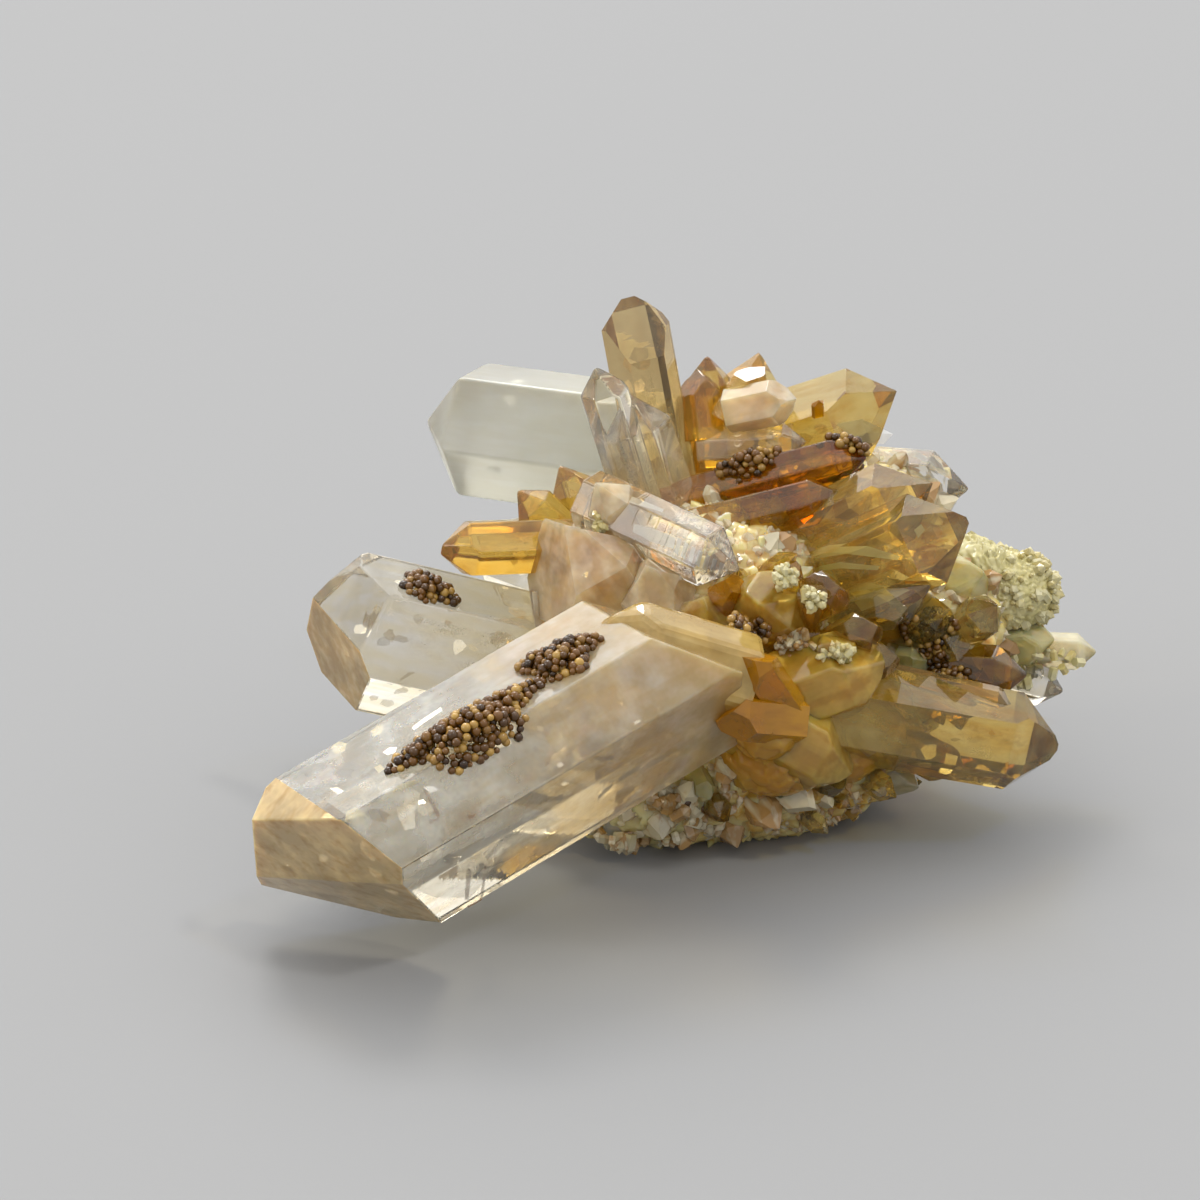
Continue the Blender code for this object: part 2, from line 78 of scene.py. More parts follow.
# Lengths are millimetres. Each crystal has its finish, its root and tip on its axis, the distances of its
# six sides or its thickness and width, and its turn. Each of its six tip faces may be lowered by a drop,
# or its tip faces are given in full, as bearing, lean and drop. Faces named as filmed are stained tan.
crystals = {
    "great": dict(
        finish="great", root=(4.5, -7.1, 17.3), tip=(-26.2, -26.3, 5.9),
        sides=(8.3, 6.3, 5.8, 7.5, 6.0, 6.1),
        tips=[
            (-60, 64.5, 2.75), (60, 25, -9.9), (-87, 49, 2.55), (120, 35, -5.5), (180, 62, -7.5),
            (-120, 30, -3.4), (0, -50, 40.5), (-60, -45, 39.5), (60, -45, 35.0)],
        filmed=(6, 7, 8)),
    "leftClear": dict(
        finish="clear", root=(-6.0, 3.0, 9.0), tip=(-25.5, -3.0, 16.4),
        sides=(4.5, 4.6, 4.6, 4.0, 5.0, 5.0),
        tips=[(-78, 54, 0.9), (75, 50, -1.6), (20, 50, -0.4), (140, 38, -1.2), (-140, 45, -2)],
        filmed=(6,)),
    "amberLeft": dict(
        finish="amber", root=(-2.5, 2.0, 20.0), tip=(-16.6, -3.0, 21.4), sides=(3.4, 3.8), roll=25,
        drops=(0, 0, 0.5, 0, 0, 0.3)),
    "pink": dict(
        finish="pink", root=(-1.0, 0.0, 10.5), tip=(-9.0, -4.0, 25.0), sides=(7.0, 9.0), roll=-8,
        drops=(1, 0, 1.5, 0, 0, 2)),
    "paleTip": dict(finish="pink", root=(-1.5, 0.0, 19.5), tip=(-5.4, -3.0, 26.4), sides=(3.0, 3.2)),
    "tall": dict(
        finish="smoky", root=(0.0, 9.0, 19.0), tip=(-3.1, 8.0, 37.0), sides=(4.2, 4.3), roll=10,
        drops=(2.2, 0.6, 0, 0, 0, 0)),
    "frontTwin": dict(
        finish="clear", root=(-1.5, 4.0, 19.5), tip=(-5.4, 3.0, 32.9), sides=(3.0, 3.0),
        drops=(0, 0.4, 0, 0, 0, 0)),
    "clearStep": dict(
        finish="clear", root=(0.5, 5.0, 18.0), tip=(-3.5, 5.0, 30.4), sides=(4.4, 4.6), roll=-10),
    "backMilky": dict(
        finish="mist", root=(-1.0, 12.0, 23.0), tip=(-18.4, 20.0, 22.6), sides=(8.0, 9.2), roll=10,
        tips=[(0, 45, 0), (60, 50, 0.5), (120, 45, 0), (180, 45, 0), (-120, 45, 0), (-60, 50, 0.5)]),
    "bright": dict(
        finish="silver", root=(-6.0, 0.0, 24.0), tip=(4.6, -7.0, 21.4), sides=(3.8, 4.0), roll=4),
    "smallAmber": dict(finish="amber", root=(-6.0, 3.0, 18.5), tip=(-11.0, 3.0, 23.6), sides=(2.6, 2.8)),
    "smallDarkAmber": dict(
        finish="amber", root=(-4.5, 5.0, 17.5), tip=(-8.0, 6.0, 24.4), sides=(3.4, 3.4), roll=20),
    "rightTop": dict(
        finish="golden", root=(4.5, 14.0, 22.0), tip=(17.5, 11.0, 27.6), sides=(7.0, 6.0), roll=10,
        drops=(1, 0, 2, 0, 0, 0)),
    "yellowUpright": dict(
        finish="golden", root=(4.5, 12.0, 21.0), tip=(6.6, 13.0, 30.6), sides=(4.5, 4.5),
        drops=(0, 0, 0.5, 0, 0, 0)),
    "orangeUpright": dict(
        finish="amber", root=(3.0, 11.0, 21.5), tip=(2.6, 12.0, 30.6), sides=(3.2, 3.2), roll=15),
    "clearBlock": dict(
        finish="clear", root=(2.0, 9.0, 24.5), tip=(9.8, 8.0, 25.4), sides=(3.0, 2.6), roll=10),
    "deepAmber": dict(
        finish="deepAmber", root=(-1.0, 6.0, 21.0), tip=(13.9, 4.0, 25.8), sides=(3.4, 3.4), roll=28),
    "golden": dict(
        finish="deepAmber", root=(0.0, 3.0, 20.0), tip=(12.0, 1.0, 24.0), sides=(3.4, 3.2), roll=32),
    "tan": dict(finish="golden", root=(3.5, 4.0, 16.0), tip=(18.1, -1.0, 25.6), sides=(4.6, 5.4)),
    "tanWindow": dict(
        finish="golden", root=(7.0, 2.0, 15.0), tip=(20.6, -4.0, 24.1), sides=(5.0, 6.2),
        drops=(1, 0, 0, 0, 0, 0)),
    "whiteFacet": dict(
        finish="silver", root=(6.5, 2.0, 12.5), tip=(18.0, -4.0, 19.2), sides=(4.0, 3.4), roll=-16),
    "rightClear": dict(finish="clear", root=(12.5, 12.0, 21.0), tip=(21.6, 9.0, 21.4), sides=(4.4, 4.6)),
    "finger": dict(finish="milky", root=(22.0, 6.0, 10.2), tip=(31.0, 6.0, 9.9), sides=(2.4, 2.4)),
    "tanNub": dict(finish="golden", root=(18.5, 2.0, 11.5), tip=(22.7, -3.0, 17.3), sides=(2.6, 2.8)),
    "amberBrown": dict(
        finish="deepAmber", root=(12.5, 1.0, 11.0), tip=(25.1, -3.0, 11.9), sides=(3.4, 3.6)),
    "rightLow": dict(
        finish="golden", root=fromPixel(765, 698, -7), tip=fromPixel(1066, 750, -4.4), sides=(6.0, 6.2),
        roll=10, drops=(1, 0, 0, 0, 0, 0)),
    "rightPale": dict(
        finish="clear", root=(21.0, 6.0, 9.2), tip=(28.6, 5.0, 7.2), sides=(3.4, 3.4), roll=10),
    "saddle": dict(
        finish="haze", root=fromPixel(750, 680, -12.8), tip=fromPixel(580, 630, -14.6), sides=(5.0, 5.8),
        drops=(1.5, 0, 0, 0, 0, 0)),
    "orangeLow": dict(
        finish="rust", root=fromPixel(795, 720, -11), tip=fromPixel(716, 714, -16.8), sides=(2.4, 3.2),
        drops=(0.6, 0, 1.2, 0, 0, 1.2)),
    "orangeHigh": dict(
        finish="rust", root=fromPixel(785, 712, -11), tip=fromPixel(742, 650, -15.8), sides=(2.4, 3.0),
        drops=(0.6, 0, 1.2, 0, 0, 1.2)),
    "middleMass": dict(
        finish="honey", root=fromPixel(735, 712, -8), tip=fromPixel(900, 650, -7), sides=(5.6, 5.6),
        roll=20, drops=(0.6, 0, 1.2, 0, 0, 1.2)),
    "lowMass": dict(
        finish="honey", root=fromPixel(735, 705, -9), tip=fromPixel(868, 778, -9), sides=(5.6, 5.6),
        roll=5, drops=(0.6, 0, 1.2, 0, 0, 1.2)),
    "pinkWedge": dict(
        finish="honey", root=(9.0, 0.0, 14.0), tip=(5.2, -9.5, 20.6), sides=(4.6, 4.6), roll=24,
        drops=(0, 0.8, 0, 0, 0.5, 0)),
    "footCrystal": dict(
        finish="milky", root=(10.0, 2.0, 6.0), tip=(17.6, -4.2, 3.4), sides=(5.4, 5.6), roll=18,
        drops=(0, 0.6, 0, 0, 0, 0)),
    "footSpike": dict(finish="milky", root=(-3.0, -4.0, 5.0), tip=(-4.6, -8.8, 0.9), sides=(2.6, 2.6)),
    "backLeft": dict(
        finish="clear", root=(-2.0, 7.0, 13.0), tip=(-15.5, 18.0, 14.0), sides=(6.5, 7.0), roll=5,
        drops=(0, 1, 0, 2, 0, 1)),
    "backMiddle": dict(
        finish="smoky", root=(3.0, 7.0, 15.0), tip=(1.5, 21.0, 20.5), sides=(7.0, 6.5),
        drops=(0, 1.5, 0, 0.5, 2, 0)),
    "backRight": dict(
        finish="amber", root=(9.0, 8.0, 13.0), tip=(19.5, 19.5, 15.5), sides=(6.0, 6.4), roll=14,
        drops=(0, 0, 1, 0, 0.5, 0)),
    "backLow": dict(
        finish="milky", root=(4.0, 6.0, 8.0), tip=(7.5, 20.5, 7.0), sides=(5.6, 6.0), roll=8,
        drops=(0, 0, 0, 1, 0, 0)),
    "backLowLeft": dict(
        finish="clear", root=(-4.0, 4.0, 8.0), tip=(-15.0, 11.0, 6.0), sides=(5.0, 5.0), roll=8,
        drops=(0, 0, 0, 1, 0, 0)),
}

# Smaller crystals, with their tips and roots given by the pixels where they show and how deep they lie.
smallerCrystals = {
    "lowRight": dict(finish="honey", tip=(905, 792, -3.8), root=(800, 705, 1), sides=(3.4, 4.2)),
    "lowMiddle": dict(finish="honey", tip=(866, 806, -5.2), root=(775, 715, 0), sides=(3.2, 3.8)),
    "lowLeft": dict(finish="honey", tip=(815, 815, -6.4), root=(752, 722, -1), sides=(3.0, 3.6)),
    "underRight": dict(finish="honey", tip=(968, 776, -4.6), root=(830, 705, -1), sides=(2.4, 3.0)),
    "overRight": dict(finish="smoky", tip=(1020, 706, -5.4), root=(850, 668, -4), sides=(1.2, 1.9)),
    "redStrip": dict(finish="deepAmber", tip=(985, 712, -5.6), root=(878, 682, -4), sides=(1.0, 1.3)),
    "rayOne": dict(finish="golden", tip=(905, 652, -7.4), root=(800, 680, -2), sides=(2.2, 2.8)),
    "rayTwo": dict(finish="amber", tip=(884, 620, -8), root=(790, 670, -2), sides=(2.4, 3.0)),
    "rayThree": dict(finish="honey", tip=(856, 640, -9.4), root=(775, 690, -3), sides=(2.4, 3.2)),
    "orangeWedge": dict(finish="rust", tip=(722, 572, -8), root=(737, 642, -4), sides=(2.0, 2.6)),
    "yellowOne": dict(finish="golden", tip=(784, 560, -9), root=(796, 612, -4), sides=(1.5, 1.9)),
    "yellowTwo": dict(finish="golden", tip=(814, 584, -9), root=(806, 626, -4), sides=(1.6, 2.0)),
    "underTan": dict(finish="golden", tip=(915, 604, -6), root=(800, 622, 0), sides=(2.4, 3.0)),
    "underTanLeft": dict(finish="amber", tip=(846, 582, -8), root=(770, 625, -1), sides=(2.6, 3.4)),
    "rightFillOne": dict(finish="golden", tip=(958, 604, -3.4), root=(870, 645, 1), sides=(3.0, 3.4)),
    "rightFillTwo": dict(finish="yellow", tip=(992, 566, 0), root=(900, 615, 5), sides=(3.8, 4.6)),
    "rightFillThree": dict(finish="yellow", tip=(1022, 588, 3), root=(930, 615, 6), sides=(3.8, 4.6)),
    "rightFillFour": dict(finish="yellow", tip=(1052, 612, 5), root=(950, 640, 6), sides=(3.6, 4.4)),
    "rightFillFive": dict(finish="yellow", tip=(1004, 548, 6), root=(930, 605, 8), sides=(3.6, 4.6)),
    "rightFillSix": dict(finish="yellow", tip=(1066, 636, 4), root=(960, 650, 5), sides=(3.0, 3.6)),
    "orangeTipOne": dict(finish="amber", tip=(696, 360, 11), root=(704, 440, 9), sides=(2.6, 3.2)),
    "orangeTipTwo": dict(finish="golden", tip=(768, 358, 11), root=(728, 425, 9), sides=(2.2, 3.0)),
    "pinkBlock": dict(finish="pink", tip=(806, 396, 7.6), root=(728, 412, 9), sides=(2.6, 3.0)),
    "orangeFlake": dict(finish="rust", tip=(817, 391, 7.5), root=(818, 416, 8), sides=(0.5, 0.9)),
    "leftFill": dict(finish="pink", tip=(524, 590, -3), root=(600, 640, 1), sides=(3.0, 3.6)),
    "pinkLow": dict(finish="pink", tip=(640, 560, -7), root=(680, 640, -2), sides=(4.0, 5.0)),
    "pinkRight": dict(finish="honey", tip=(700, 590, -8), root=(720, 660, -3), sides=(3.6, 4.4)),
}
for label, c in smallerCrystals.items():
    c["tip"] = fromPixel(*c["tip"])
    c["root"] = fromPixel(*c["root"])
    c["roll"] = len(label) * 7 % 60  # any turn does, as long as neighbours differ
    c["drops"] = (0, 0.5, 0.1, 0.9, 0.2, 0.6)
    crystals[label] = c


def crystalFrame(c):
    # the axis from root to tip, the way to the front square to it, and the way across both
    root = np.array(c["root"], float)
    tip = np.array(c["tip"], float)
    axis = unit(tip - root)
    toFront = unit(front - axis * (front @ axis))
    return root, tip, axis, toFront, np.cross(axis, toFront)


def crystalPlanes(c, grow=0.0):
    # every face as its outward direction and its distance from the origin: six sides at 60 degrees,
    # the tip faces through the tip lowered by their drops, and the flat end at the root
    root, tip, axis, toFront, across = crystalFrame(c)
    sides = np.array(c["sides"], float)
    if len(sides) == 2:
        bearings = np.radians(60 * np.arange(6))
        sides = np.hypot(sides[0] / 2 * np.cos(bearings), sides[1] / 2 * np.sin(bearings))
    roll = c.get("roll", 0)
    bearings = np.radians(roll + 60 * np.arange(6))
    outward = np.outer(np.cos(bearings), toFront) + np.outer(np.sin(bearings), across)
    drops = c.get("drops", (0, 0, 0, 0, 0, 0))
    sixFaces = [(60 * k, faceLean, drop) for k, drop in enumerate(drops)]
    turns, leans, drops = np.array(c.get("tips", sixFaces), float).T
    turns = np.radians(roll + turns)[:, None]
    leans = np.radians(leans)[:, None]
    caps = np.cos(leans) * (np.cos(turns) * toFront + np.sin(turns) * across) + np.sin(leans) * axis
    capReach = np.sum(caps * (tip - np.outer(drops, axis)), 1)
    normals = np.vstack((outward, caps, -axis))
    reach = np.concatenate((outward @ root + sides, capReach, (-axis @ root,))) + grow
    return normals, reach


def crystalPart(c, seed):
    # corners are the points where three faces meet and no other face cuts them off;
    # each face keeps its own corners, in order round it
    normals, reach = crystalPlanes(c)
    triples = np.array(list(itertools.combinations(range(len(normals)), 3)))
    sets = normals[triples]
    solid = np.abs(np.linalg.det(sets)) > 1e-6
    triples, sets = triples[solid], sets[solid]
    corners = np.linalg.solve(sets, reach[triples][..., None])[..., 0]
    inside = (corners @ normals.T <= reach + 1e-6).all(1)
    corners = np.unique(corners[inside].round(5), axis=0)
    faces = []
    planeOf = []
    for index, (normal, distance) in enumerate(zip(normals, reach)):
        on = np.nonzero(np.abs(corners @ normal - distance) < 1e-3)[0]
        if len(on) < 3:
            continue
        spread = corners[on] - corners[on].mean(0)
        right = unit(spread[0])
        faces.append(on[np.argsort(np.arctan2(spread @ np.cross(normal, right), spread @ right))])
        planeOf.append(index)
    root, tip, axis, toFront, across = crystalFrame(c)
    chance = np.random.default_rng(seed)
    local = np.stack(((corners - root) @ axis, (corners - root) @ toFront, (corners - root) @ across), 1)
    along = local[:, 0] / np.linalg.norm(tip - root)
    local = local + chance.uniform(*noiseStart, 3)
    shade = np.full(len(corners), chance.random())
    return dict(corners=corners, faces=faces, planes=planeOf, local=local, along=along, shade=shade)


def madePiece(name, parts, materials, smooth=False):
    # one mesh from several parts in millimetres, with their noise coordinates, how far along each point
    # lies and each part's shade
    base, faces, slots = 0, [], []
    for part in parts:
        faces += [tuple(int(i) + base for i in face) for face in part["faces"]]
        slots += list(part.get("slots", [0] * len(part["faces"])))
        base += len(part["corners"])
    data = bpy.data.meshes.new(name)
    data.from_pydata(((np.vstack([p["corners"] for p in parts]) - middle) * mm).tolist(), [], faces)
    data.attributes.new("local", "FLOAT_VECTOR", "POINT")
    data.attributes["local"].data.foreach_set("vector", np.vstack([p["local"] for p in parts]).ravel())
    for label in ("along", "shade"):
        data.attributes.new(label, "FLOAT", "POINT")
        data.attributes[label].data.foreach_set("value", np.concatenate([p[label] for p in parts]))
    for material in materials:
        data.materials.append(material)
    data.polygons.foreach_set("material_index", slots)
    data.polygons.foreach_set("use_smooth", [smooth] * len(faces))
    data.update()
    piece = bpy.data.objects.new(name, data)
    bpy.context.scene.collection.objects.link(piece)
    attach(piece, "root")
    return piece


def copiesPart(template, faces, turns, places, local, along, shade):
    # a small closed shape repeated: each copy is turned by its own three axes and moved to its place
    corners = (np.einsum("nij,kj->nki", turns, template) + places[:, None, :]).reshape(-1, 3)
    steps = np.arange(len(places))[:, None, None] * len(template)
    allFaces = []
    for size in sorted({len(f) for f in faces}):
        same = np.array([f for f in faces if len(f) == size])
        allFaces += (same[None] + steps).reshape(-1, size).tolist()
    local = np.repeat(local, len(template), 0) + np.tile(template, (len(places), 1))
    return dict(
        corners=corners, faces=allFaces, local=local, along=np.tile(along, len(places)),
        shade=np.repeat(shade, len(template)))


def newMaterial(name):
    material = bpy.data.materials.new(name)
    material.use_nodes = True
    material.node_tree.nodes.clear()
    return material


def addNode(material, kind, settings=None, **links):
    # a node with its settings; each link is a socket by its name, or by its number after an underscore,
    # and takes a plain value or another node's socket
    node = material.node_tree.nodes.new(kind)
    for name, value in (settings or {}).items():
        setattr(node, name, value)
    for name, value in links.items():
        socket = node.inputs[int(name[1:])] if name[0] == "_" else node.inputs[name.replace("_", " ")]
        if isinstance(value, bpy.types.NodeSocket):
            material.node_tree.links.new(value, socket)
        else:
            socket.default_value = value
    return node


def attribute(material, name, output="Fac"):
    return addNode(material, "ShaderNodeAttribute", {"attribute_name": name}).outputs[output]


def stretched(material, place, *scale):
    return addNode(material, "ShaderNodeMapping", Vector=place, Scale=scale).outputs[0]


def noise(material, place, scale, detail, roughness=0.5):
    return addNode(
        material, "ShaderNodeTexNoise", Vector=place, Scale=scale, Detail=detail,
        Roughness=roughness).outputs["Fac"]


def calculate(material, operation, *values):
    sockets = {"_%d" % number: value for number, value in enumerate(values)}
    return addNode(material, "ShaderNodeMath", {"operation": operation}, **sockets).outputs[0]


def mapped(material, value, fromRange, toRange=(0.0, 1.0), kind="LINEAR"):
    return addNode(
        material, "ShaderNodeMapRange", {"interpolation_type": kind}, Value=value, From_Min=fromRange[0],
        From_Max=fromRange[1], To_Min=toRange[0], To_Max=toRange[1]).outputs[0]


def blended(material, share, first, second):
    return addNode(
        material, "ShaderNodeMix", {"data_type": "RGBA"}, _0=share, _6=first, _7=second).outputs[2]


def shaded(material, **settings):
    # the material's one Principled shader, and its output
    shader = addNode(material, "ShaderNodeBsdfPrincipled", **settings)
    output = addNode(material, "ShaderNodeOutputMaterial", Surface=shader.outputs[0])
    return shader, output


def linear(hexColour):
    # an sRGB hex colour as linear red, green, blue and alpha
    c = np.array([int(hexColour[i:i + 2], 16) for i in (0, 2, 4)]) / 255
    c = np.where(c <= 0.04045, c / 12.92, ((c + 0.055) / 1.055) ** 2.4)
    return (*c, 1.0)


# Natural quartz, grown faces: water-clear where it grew last, milky at its root, stained honey to
# orange by iron in streaks along the crystal. The milky part lets light wander through it.
quartz = dict(
    ior=1.544, lineSpacing=0.35, streakWidth=0.9, streakLength=0.22, streakSpan=(0.42, 0.62), cloudSize=2.6,
    cloudSpan=(0.42, 0.7), cloudShare=0.8, clearSpan=(0.45, 1.15), spread=0.16, redReach=(1.0, 0.85, 0.65))
# Each finish has its colours at the root and tip and where it is stained, how much of it is stained, how
# milky it is at root and tip and in clouds, and its roughness. Some take colour with depth (absorb,
# density), let light wander (glow, in millimetres), carry growth lines, or let lamps light through (lit).
# The edge is how far a crystal's edges are worn, and spread is how much the stain goes by the shade.
finishes = {
    "great": dict(
        root="d8bc84", tip="f8f4ea", stain="d4b87c", stained=0.5, milk=(0.36, 0.03), cloud=0.2,
        rough=0.015, absorb="e2d090", density=24.0, glow=2.5, edge=0.12, lines=0.006, lit="faf6ea"),
    "clear": dict(
        root="f4e6c0", tip="fbf8f2", stain="f2e0ac", stained=0.5, milk=(0.2, 0.02), cloud=0.1,
        rough=0.015, edge=0.12, lines=0.012, lit="fbf8ee"),
    "silver": dict(
        root="f4e8cc", tip="fdfaf4", stain="f2e6c4", stained=0.3, milk=(0.05, 0.01), cloud=0.04,
        rough=0.02, edge=0.16, lines=0.02, lit="fbf8ee"),
    "amber": dict(
        root="f0c648", tip="f4d878", stain="dca828", stained=0.7, milk=(0.16, 0.04), cloud=0.1,
        rough=0.02, absorb="f4d010", density=140.0, edge=0.35, lit="f8f4cc"),
    "deepAmber": dict(
        root="d8a41c", tip="dcb030", stain="a87008", stained=0.7, milk=(0.08, 0.03), cloud=0.1,
        rough=0.02, absorb="ecc60c", density=360.0, edge=0.3, lit="ecd888"),
    "rust": dict(
        root="e8a40c", tip="dc9408", stain="bc7c06", stained=0.7, milk=(0.4, 0.34), cloud=0.1,
        rough=0.06, edge=0.3),
    "honey": dict(
        root="e8bc40", tip="ecc860", stain="c89828", stained=0.6, milk=(0.4, 0.25), cloud=0.2,
        rough=0.04, absorb="f4cc24", density=80.0, glow=1.5, edge=0.6, lit="f8f0cc"),
    "yellow": dict(
        root="f6e284", tip="f8ecac", stain="f0d878", stained=0.6, milk=(0.4, 0.25), cloud=0.15,
        rough=0.06, glow=1.0, edge=0.3, lit="f8f4d8"),
    "frost": dict(
        root="f6e898", tip="faf0bc", stain="f0d880", stained=0.6, milk=(0.55, 0.45), cloud=0.1,
        rough=0.15, spread=0.5),
    "golden": dict(
        root="f4d85c", tip="f8e494", stain="e4b83c", stained=0.7, milk=(0.16, 0.04), cloud=0.1,
        rough=0.02, absorb="f4d018", density=95.0, edge=0.4, lit="f8f2cc"),
    "pink": dict(
        root="e8cca0", tip="f0dcbc", stain="dcbc88", stained=0.6, milk=(0.5, 0.3), cloud=0.25,
        rough=0.04, glow=2.0, edge=0.5, lit="f6eede"),
    "haze": dict(
        root="c8aa60", tip="ccb06c", stain="b89440", stained=0.6, milk=(0.45, 0.35), cloud=0.25,
        rough=0.05, edge=0.6, lit="f8f0da"),
    "smoky": dict(
        root="ecd8a0", tip="dcc48c", stain="d4b880", stained=0.6, milk=(0.14, 0.04), cloud=0.1,
        rough=0.015, absorb="ecca7c", density=60.0, edge=0.12, lines=0.02, lit="f8f0da"),
    "tanFilm": dict(
        root="e4cc9c", tip="e2c690", stain="c8a468", stained=0.8, milk=(0.55, 0.45), cloud=0.3,
        rough=0.04, absorb="e2c988", density=24.0, glow=1.0, edge=0.1, lit="f0e4cc"),
    "mist": dict(
        root="c6c4b2", tip="cfccbe", stain="c0baa2", stained=0.4, milk=(0.35, 0.2), cloud=0.1, rough=0.3,
        glow=3.0, edge=3.0, lit="f8f8f0"),
    "milky": dict(
        root="ecdcac", tip="eee2bc", stain="e4d090", stained=0.5, milk=(0.5, 0.3), cloud=0.2, rough=0.08,
        glow=2.0, edge=0.7, lit="f8f4e0"),
    "root": dict(
        root="f0d898", tip="e8bc60", stain="cc9028", stained=0.85, milk=(0.8, 0.8), cloud=0.2,
        rough=0.08, glow=2.0, spread=0.5),
    "heart": dict(
        root="dca83c", tip="b87c10", stain="c48c1c", stained=0.7, milk=(0.6, 0.5), cloud=0.2, rough=0.06,
        glow=1.5, spread=0.5),
    "sugar": dict(
        root="f8e8ac", tip="fcf0cc", stain="c88c28", stained=0.8, milk=(0.52, 0.42), cloud=0.15,
        rough=0.1, spread=0.5),
}


def quartzFinish(name, spec):
    m = newMaterial("quartz_" + name)
    local = attribute(m, "local", "Vector")
    along = attribute(m, "along")
    shade = attribute(m, "shade")
    cloud = noise(m, local, 1 / quartz["cloudSize"], 3.0, 0.6)
    lengthwise = stretched(m, local, quartz["streakLength"], 1.0, 1.0)
    streak = noise(m, lengthwise, 1 / quartz["streakWidth"], 2.0)
    rise = calculate(m, "MULTIPLY_ADD", cloud, quartz["cloudShare"], along)
    newer = mapped(m, rise, quartz["clearSpan"], kind="SMOOTHSTEP")
    grown = blended(m, newer, linear(spec["root"]), linear(spec["tip"]))
    spread = spec.get("spread", quartz["spread"])
    low, high = quartz["streakSpan"]
    stained = calculate(m, "MULTIPLY_ADD", shade, spread, streak)
    stain = mapped(m, stained, (low + spread / 2, high + spread / 2), (0.0, spec["stained"]))
    colour = blended(m, stain, grown, linear(spec["stain"]))
    clear = mapped(m, newer, (0.0, 1.0), (1 - spec["milk"][0], 1 - spec["milk"][1]))
    patch = mapped(m, cloud, quartz["cloudSpan"], (0.0, -spec["cloud"]))
    through = addNode(
        m, "ShaderNodeMath", {"operation": "ADD", "use_clamp": True}, _0=clear, _1=patch).outputs[0]
    glow = spec.get("glow", 0.0)
    shader, output = shaded(
        m, Base_Color=colour, Roughness=spec["rough"], IOR=quartz["ior"], Transmission_Weight=through,
        Subsurface_Weight=float(glow > 0), Subsurface_Radius=quartz["redReach"], Subsurface_Scale=glow * mm)
    if "lines" in spec:
        # growth lines run across the crystal, close together
        crosswise = stretched(m, local, 1.0, 0.08, 0.08)
        lines = noise(m, crosswise, 1 / quartz["lineSpacing"], 1.0)
        bump = addNode(m, "ShaderNodeBump", Distance=spec["lines"] * mm, Height=lines)
        m.node_tree.links.new(bump.outputs[0], shader.inputs["Normal"])
    if "lit" in spec:
        # light from the lamps goes on through clear quartz, tinted, so that what is behind it is lit
        passed = addNode(m, "ShaderNodeBsdfTransparent", Color=linear(spec["lit"])).outputs[0]
        fromLamp = addNode(m, "ShaderNodeLightPath").outputs["Is Shadow Ray"]
        either = addNode(m, "ShaderNodeMixShader", _0=fromLamp, _1=shader.outputs[0], _2=passed).outputs[0]
        m.node_tree.links.new(either, output.inputs["Surface"])
    if "density" in spec:
        body = addNode(
            m, "ShaderNodeVolumeAbsorption", Color=linear(spec["absorb"]), Density=spec["density"])
        m.node_tree.links.new(body.outputs[0], output.inputs["Volume"])
    return m


materials = {name: quartzFinish(name, spec) for name, spec in finishes.items()}
for finish, spec in finishes.items():
    group = []
    for seed, c in enumerate(crystals.values()):
        if c["finish"] == finish:
            part = crystalPart(c, seed)
            part["slots"] = [int(index in c.get("filmed", ())) for index in part["planes"]]
            group.append(part)
    if group:
        soft = finish == "mist"
        both = [materials[finish], materials["tanFilm"]]
        piece = madePiece("crystals_" + finish, group, both, smooth=soft)
        bevel = piece.modifiers.new("worn edges", "BEVEL")
        bevel.width = spec["edge"] * mm
        bevel.segments = 5 if soft else 2
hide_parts("quartz_cluster")
print("crystals made")


def sheets(rows):
    return [dict(zip(("crystal", "span", "off", "width", "bow", "ripple"), row)) for row in rows]


# What shows inside the clear crystals: pale veils of tiny bubbles, streaks of orange iron, and cracks
# that flash. Each sheet runs between two shares of the crystal's length, off its axis to the front and
# across, with its width, how far it bows and how much it ripples, in millimetres.
veils = sheets([
    ("great", (0.02, 0.62), (3.2, 2.0), 8.0, 0.8, 0.5),
    ("great", (0.0, 0.5), (0.5, -2.0), 9.0, -1.0, 0.6), ("great", (0.3, 0.85), (2.0, 3.4), 5.0, 0.6, 0.4),
    ("great", (0.1, 0.72), (-2.5, 0.0), 9.0, 0.9, 0.6),
    ("great", (0.45, 0.95), (0.0, -3.0), 4.0, 0.5, 0.5),
    ("leftClear", (0.15, 0.8), (1.4, 0.8), 5.0, 0.5, 0.4),
    ("leftClear", (0.0, 0.6), (-1.0, -1.0), 5.0, -0.5, 0.4),
    ("tall", (0.1, 0.8), (0.3, 0.0), 2.6, 0.2, 0.2), ("frontTwin", (0.1, 0.8), (0.2, 0.0), 1.8, 0.2, 0.2),
    ("clearStep", (0.1, 0.8), (0.4, 0.3), 2.6, 0.2, 0.2),
    ("bright", (0.1, 0.9), (0.4, 0.0), 2.4, 0.2, 0.2),
    ("backMilky", (0.1, 0.8), (1.0, 0.0), 6.0, 0.4, 0.4),
    ("saddle", (0.1, 0.8), (0.6, 0.0), 3.4, 0.3, 0.3), ("rightLow", (0.2, 0.9), (0.8, 0.8), 3.6, 0.3, 0.2)
])
